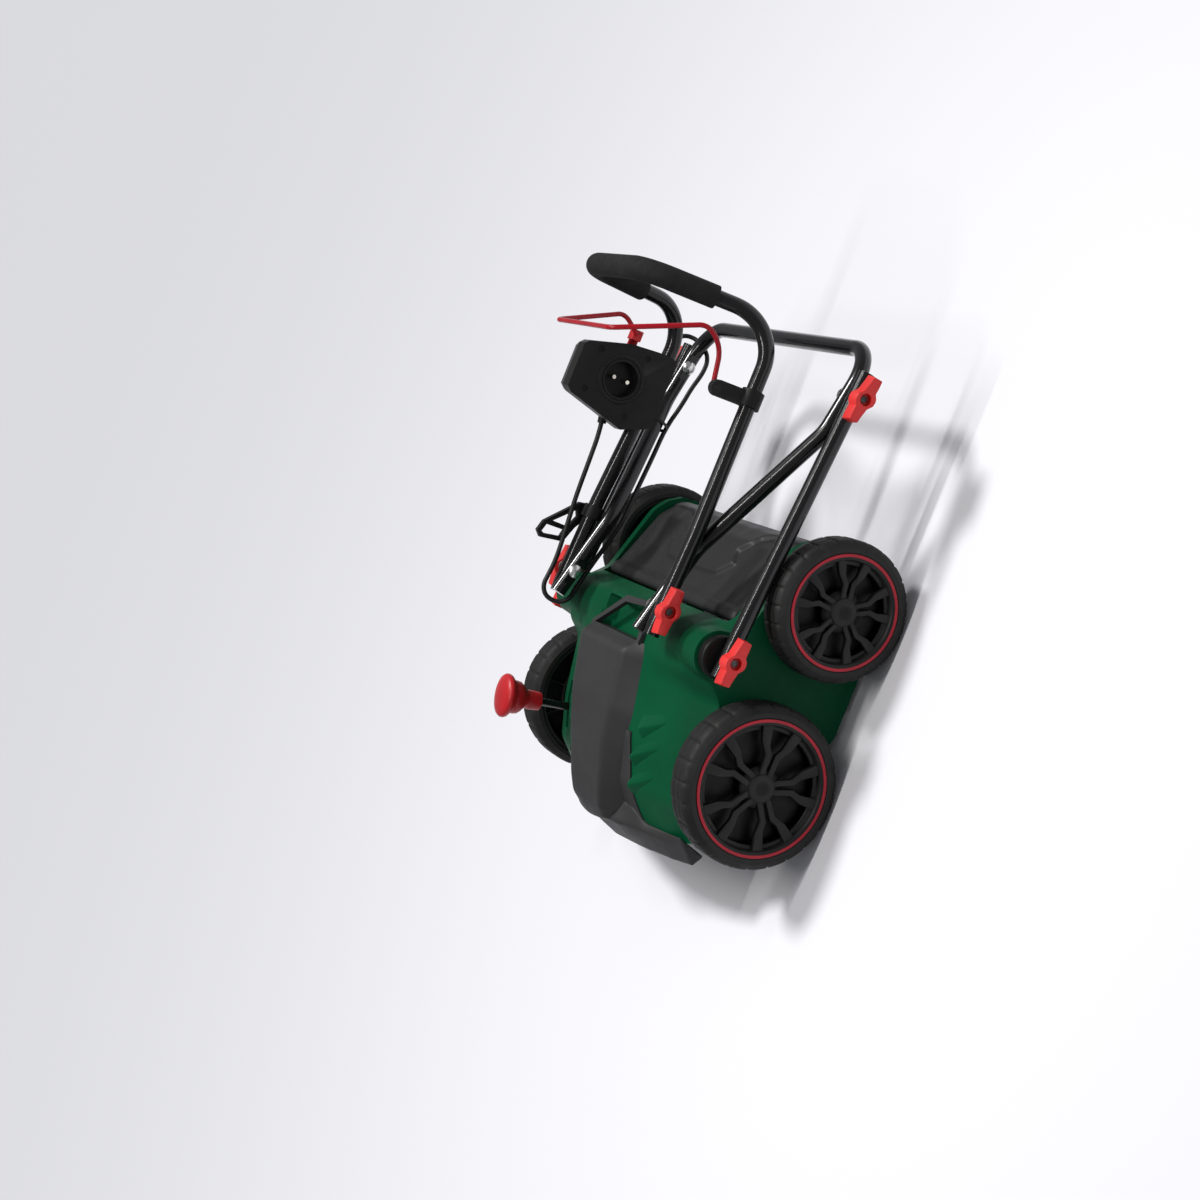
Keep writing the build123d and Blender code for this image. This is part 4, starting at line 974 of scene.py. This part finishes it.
def makeFlap():
    line = flap["line"]
    total = sum(math.dist(a, b) for a, b in zip(line, line[1:]))
    acrossStep, alongStep = flap["grid"]
    columns = stations([-flap["halfWidth"], flap["halfWidth"]], acrossStep)
    rows = []
    for walked in stations([0, total], alongStep):
        y, z = softPoint(line, walked, flap["bendSoft"])
        ahead, behind = pointAlong(line, walked + 1), pointAlong(line, walked - 1)
        normal = Vector((0, behind[1] - ahead[1], ahead[0] - behind[0])).normalized()
        row = []
        for x in columns:
            rise = easeStep(edgeDistance(flap["raised"], abs(x), y) / flap["soft"] / 2 + 0.5)
            fade = easeStep((walked - flap["dropFrom"]) / flap["dropRun"])
            edge = max(0, abs(x) - flap["halfWidth"] + flap["rollWidth"]) / flap["rollWidth"]  # rolls over
            drop = flap["step"] * (1 - rise) * fade + flap["rollDepth"] * edge ** 2
            row.append(spot(x, y, z) - normal * drop / 1000)
        rows.append(row)
    piece = gridPiece("flap_panel", rows)
    cleanMesh(piece)
    applyModifier(piece, "SOLIDIFY", thickness=flap["wall"] / 1000, offset=-1)
    dress(piece, "rear_flap", flapGrey, "flap_rubber", "rear_flap", angle=40)


makeFlap()
print("flap pressed")


# Pieces that keep a node's shape, with rounded edges

rounded = [  # node, new piece, rounding in millimetres, body, finish, slot
    ("intake_surround", "intake_rim", 1.2, "deck", coverGrey, "cover_grey"),
    ("handle_bosses", "boss_discs", 0.6, "deck", boxBlack, "box_black"),
    ("switch_box_front", "box_face", 2.6, "upper_handle", boxBlack, "box_black"),
    ("switch_box_back", "box_rear", 2.6, "upper_handle", boxBlack, "box_black"),
    ("mains_inlet", "inlet_cup", 0.6, "upper_handle", boxBlack, "box_black"),
    ("bail_bracket", "bail_clamp", 1.0, "upper_handle", boxBlack, "box_black"),
    ("cable_hook", "lead_hook", 1.0, "upper_handle", boxBlack, "box_black"),
    ("handle_grip", "grip_sleeve", 2.0, "upper_handle", gripBlack, "grip_black"),
]
for node, name, width, body, finish, slotName in rounded:
    dress(softCopy(node, name, width), body, finish, slotName, node, even=True)
print("rounded copies made")


# Small pieces of their own

knob = {  # (height, radius) from the foot of the neck to the crown
    "profile": [(0.2, 5.2), (0, 10.4), (0.6, 11.4), (4, 12), (16, 12.4), (19, 11.6), (22, 12.6), (26, 17.4),
                (30, 20.4), (35, 21.2), (38, 20.8), (41, 23.6), (44, 26.8), (46.5, 27.8), (49, 27.6),
                (51.5, 25.6), (53.5, 20), (54.8, 12), (55.4, 5), (55.5, 0.01)],
    "foot": (-150, -25.7, 206), "lean": 9.46, "steps": 64,
}


def makeKnob():
    place = Matrix.Translation(spot(*knob["foot"])) @ Matrix.Rotation(math.radians(knob["lean"]), 4, "X")
    piece = turnedPiece("depth_knob", place, knob["profile"], knob["steps"])
    # the knob takes the darker copy of the red plastic as painted shade
    dress(piece, "depth_axle", redPlasticPaintedShade, "red_plastic", "lever_knob", angle=45)


bailClip = {"split": 429.0, "middle": -130.0, "keep": 0.45, "edge": 0.8}


def makeBailClip():  # lever with its showing end drawn in
    piece = softCopy("bail_lever", "bail_arm", bailClip["edge"])
    for corner in piece.data.vertices:
        if (corner.co.y - frontHub.y) * 1000 > bailClip["split"]:
            x = corner.co.x * 1000
            corner.co.x = (bailClip["middle"] + (x - bailClip["middle"]) * bailClip["keep"]) / 1000
    # the same darker copy of the red plastic, painted shade
    dress(piece, "bail", redPlasticPaintedShade, "red_plastic", "bail_lever", even=True)


studs = {
    "edge": 0.5, "reach": 0.001,
    # node, new piece, body, and the nuts that hide its ends
    "sets": [("boss_bolts", "boss_studs", "deck", ["boss"]),
             ("frame_bolts", "frame_studs", "middle_frame", ["elbow", "upper"])],
}


def isWithin(point, low, high, reach):
    return all(low[i] - reach < point[i] < high[i] + reach for i in range(3))


def makeBolts():  # bright heads; the ends inside the nuts darker, as painted shade
    for node, name, body, pairs in studs["sets"]:
        piece = softCopy(node, name, studs["edge"], 2, 40)
        dress(piece, body, zincBright, "zinc", node)
        piece.data.materials.append(paintedShadeSteel)
        # faces inside a nut's box take the darker steel as painted shade
        nuts = [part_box(f"{side}_{pair}_nut") for side in sides for pair in pairs]
        for face in piece.data.polygons:
            inNut = any(isWithin(face.center, *nut, studs["reach"]) for nut in nuts)
            face.material_index = 1 if inNut else 0


inlet = {
    "middle": (-122.0, 384.2, 277.5), "steps": 72,
    "ring": [(-1, 26), (1.3, 26.6), (1.8, 27.6), (1.6, 29.4), (0.9, 30.4), (-1, 30.8), (-1, 26)],
}


def makeInletRing():
    place = Matrix.Translation(spot(*inlet["middle"])) @ outward(1)
    piece = turnedPiece("inlet_collar", place, inlet["ring"], inlet["steps"])
    dress(piece, "upper_handle", boxBlack, "box_black", angle=40)


tie = {  # strap that holds the lead to the frame
    "middle": (-205.6, 357, 174.0), "along": (-0.46, 0.86, -0.23), "stretch": 1.3, "steps": 40,
    "band": [(-2, 9.6), (-2, 10.7), (2, 10.7), (2, 9.6), (-2, 9.6)],
}


def makeTie():
    along = Vector(tie["along"]).normalized()
    down = (Vector((0, 0, -1)) + along * along.z).normalized()
    turn = Matrix((down, along.cross(down), along)).transposed().to_4x4()
    stretch = Matrix.Scale(tie["stretch"], 4, (1, 0, 0))
    place = Matrix.Translation(spot(*tie["middle"])) @ turn @ stretch
    piece = turnedPiece("lead_tie", place, tie["band"], tie["steps"])
    dress(piece, "middle_frame", leadBlack, "cable_rubber", angle=40)


bailEnd = {
    "middle": (399, 270), "steps": 32,
    "cap": [(-0.5, 0.01), (-0.5, 4.6), (0.9, 4.6), (1.3, 4.2), (1.3, 0.01)],
}


def makeBailCap():  # closes the bracket's bearing
    place = Matrix.Translation(spot(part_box("bail")[1].x * 1000, *bailEnd["middle"])) @ outward(1)
    piece = turnedPiece("bail_cap", place, bailEnd["cap"], bailEnd["steps"])
    dress(piece, "upper_handle", boxBlack, "box_black", angle=40)


makeBailCap()
makeTie()
makeKnob()
makeBailClip()
makeBolts()
makeInletRing()
print("small pieces made")


# Stage, light and camera

stage = {
    "floor": (0.74, 0.74, 0.77), "floorSize": 60, "floorRough": 0.8, "floorGloss": 0.1,
    "backdrop": (0.708, 0.701, 0.745), "worldColor": (0.95, 0.96, 1), "worldStrength": 0.28,
    "sunStrength": 2.4, "sunSpread": 12.0, "sunPlace": (-0.28, 0.42, 1.3),
    # where, size, watts, colour
    "lamps": [((0.55, 0.0, 1.9), (1.6, 0.06), 18, (1, 0.98, 0.96))],
    "aim": (0, 0, 0.18),
}


def aimedObject(name, data, place):
    holder = newObject(name, data)
    holder.location = place
    holder.rotation_euler = (Vector(stage["aim"]) - Vector(place)).to_track_quat("-Z", "Y").to_euler()


def makeStage():
    clearSelection()
    bpy.ops.mesh.primitive_plane_add(size=stage["floorSize"], location=(0, 0, 0))
    floor = namePiece("floor")
    paint = bpy.data.materials.new("floorPaint")
    paint.use_nodes = True
    setInputs(paint.node_tree.nodes["Principled BSDF"], {
        "Base Color": (*stage["floor"], 1), "Roughness": stage["floorRough"],
        "Specular IOR Level": stage["floorGloss"]})
    floor.data.materials.append(paint)
    sun = bpy.data.lights.new("sun", "SUN")
    sun.energy = stage["sunStrength"]
    sun.angle = math.radians(stage["sunSpread"])
    aimedObject("sun", sun, stage["sunPlace"])
    for place, size, watts, color in stage["lamps"]:
        lamp = bpy.data.lights.new("softLamp", "AREA")
        lamp.shape = "RECTANGLE"
        lamp.size, lamp.size_y = size
        lamp.energy = watts
        lamp.color = color
        aimedObject("softLamp", lamp, place)
    world = bpy.data.worlds.new("paleRoom")
    bpy.context.scene.world = world
    world.use_nodes = True
    tree = world.node_tree
    link = tree.links.new
    soft = tree.nodes["Background"]
    setInputs(soft, {"Color": (*stage["worldColor"], 1), "Strength": stage["worldStrength"]})
    seen = tree.nodes.new("ShaderNodeBackground")
    setInputs(seen, {"Color": (*stage["backdrop"], 1)})
    mix = tree.nodes.new("ShaderNodeMixShader")
    paths = tree.nodes.new("ShaderNodeLightPath")
    link(paths.outputs["Is Camera Ray"], mix.inputs["Fac"])
    link(soft.outputs["Background"], mix.inputs[1])
    link(seen.outputs["Background"], mix.inputs[2])
    link(mix.outputs["Shader"], tree.nodes["World Output"].inputs["Surface"])


view = {
    "place": (2.5135, -0.0115, 1.3352), "lens": 68.93, "sensor": 36, "farthest": 50,
    "turn": (2.42753, 0.48653, -1.60012),  # axis times angle
}


def makeCamera():
    camera = bpy.data.cameras.new("camera")
    camera.lens = view["lens"]
    camera.sensor_width = view["sensor"]
    camera.clip_end = view["farthest"]
    holder = newObject("camera", camera)
    turn = Vector(view["turn"])
    axes = Matrix.Rotation(turn.length, 3, turn.normalized())  # rows: right, down, forward
    right, down, forward = axes
    facing = Matrix((right, -down, -forward)).transposed().to_4x4()
    holder.matrix_world = Matrix.Translation(view["place"]) @ facing
    bpy.context.scene.camera = holder


makeStage()
makeCamera()
bpy.context.scene.view_settings.view_transform = "Standard"
print("stage and camera set")
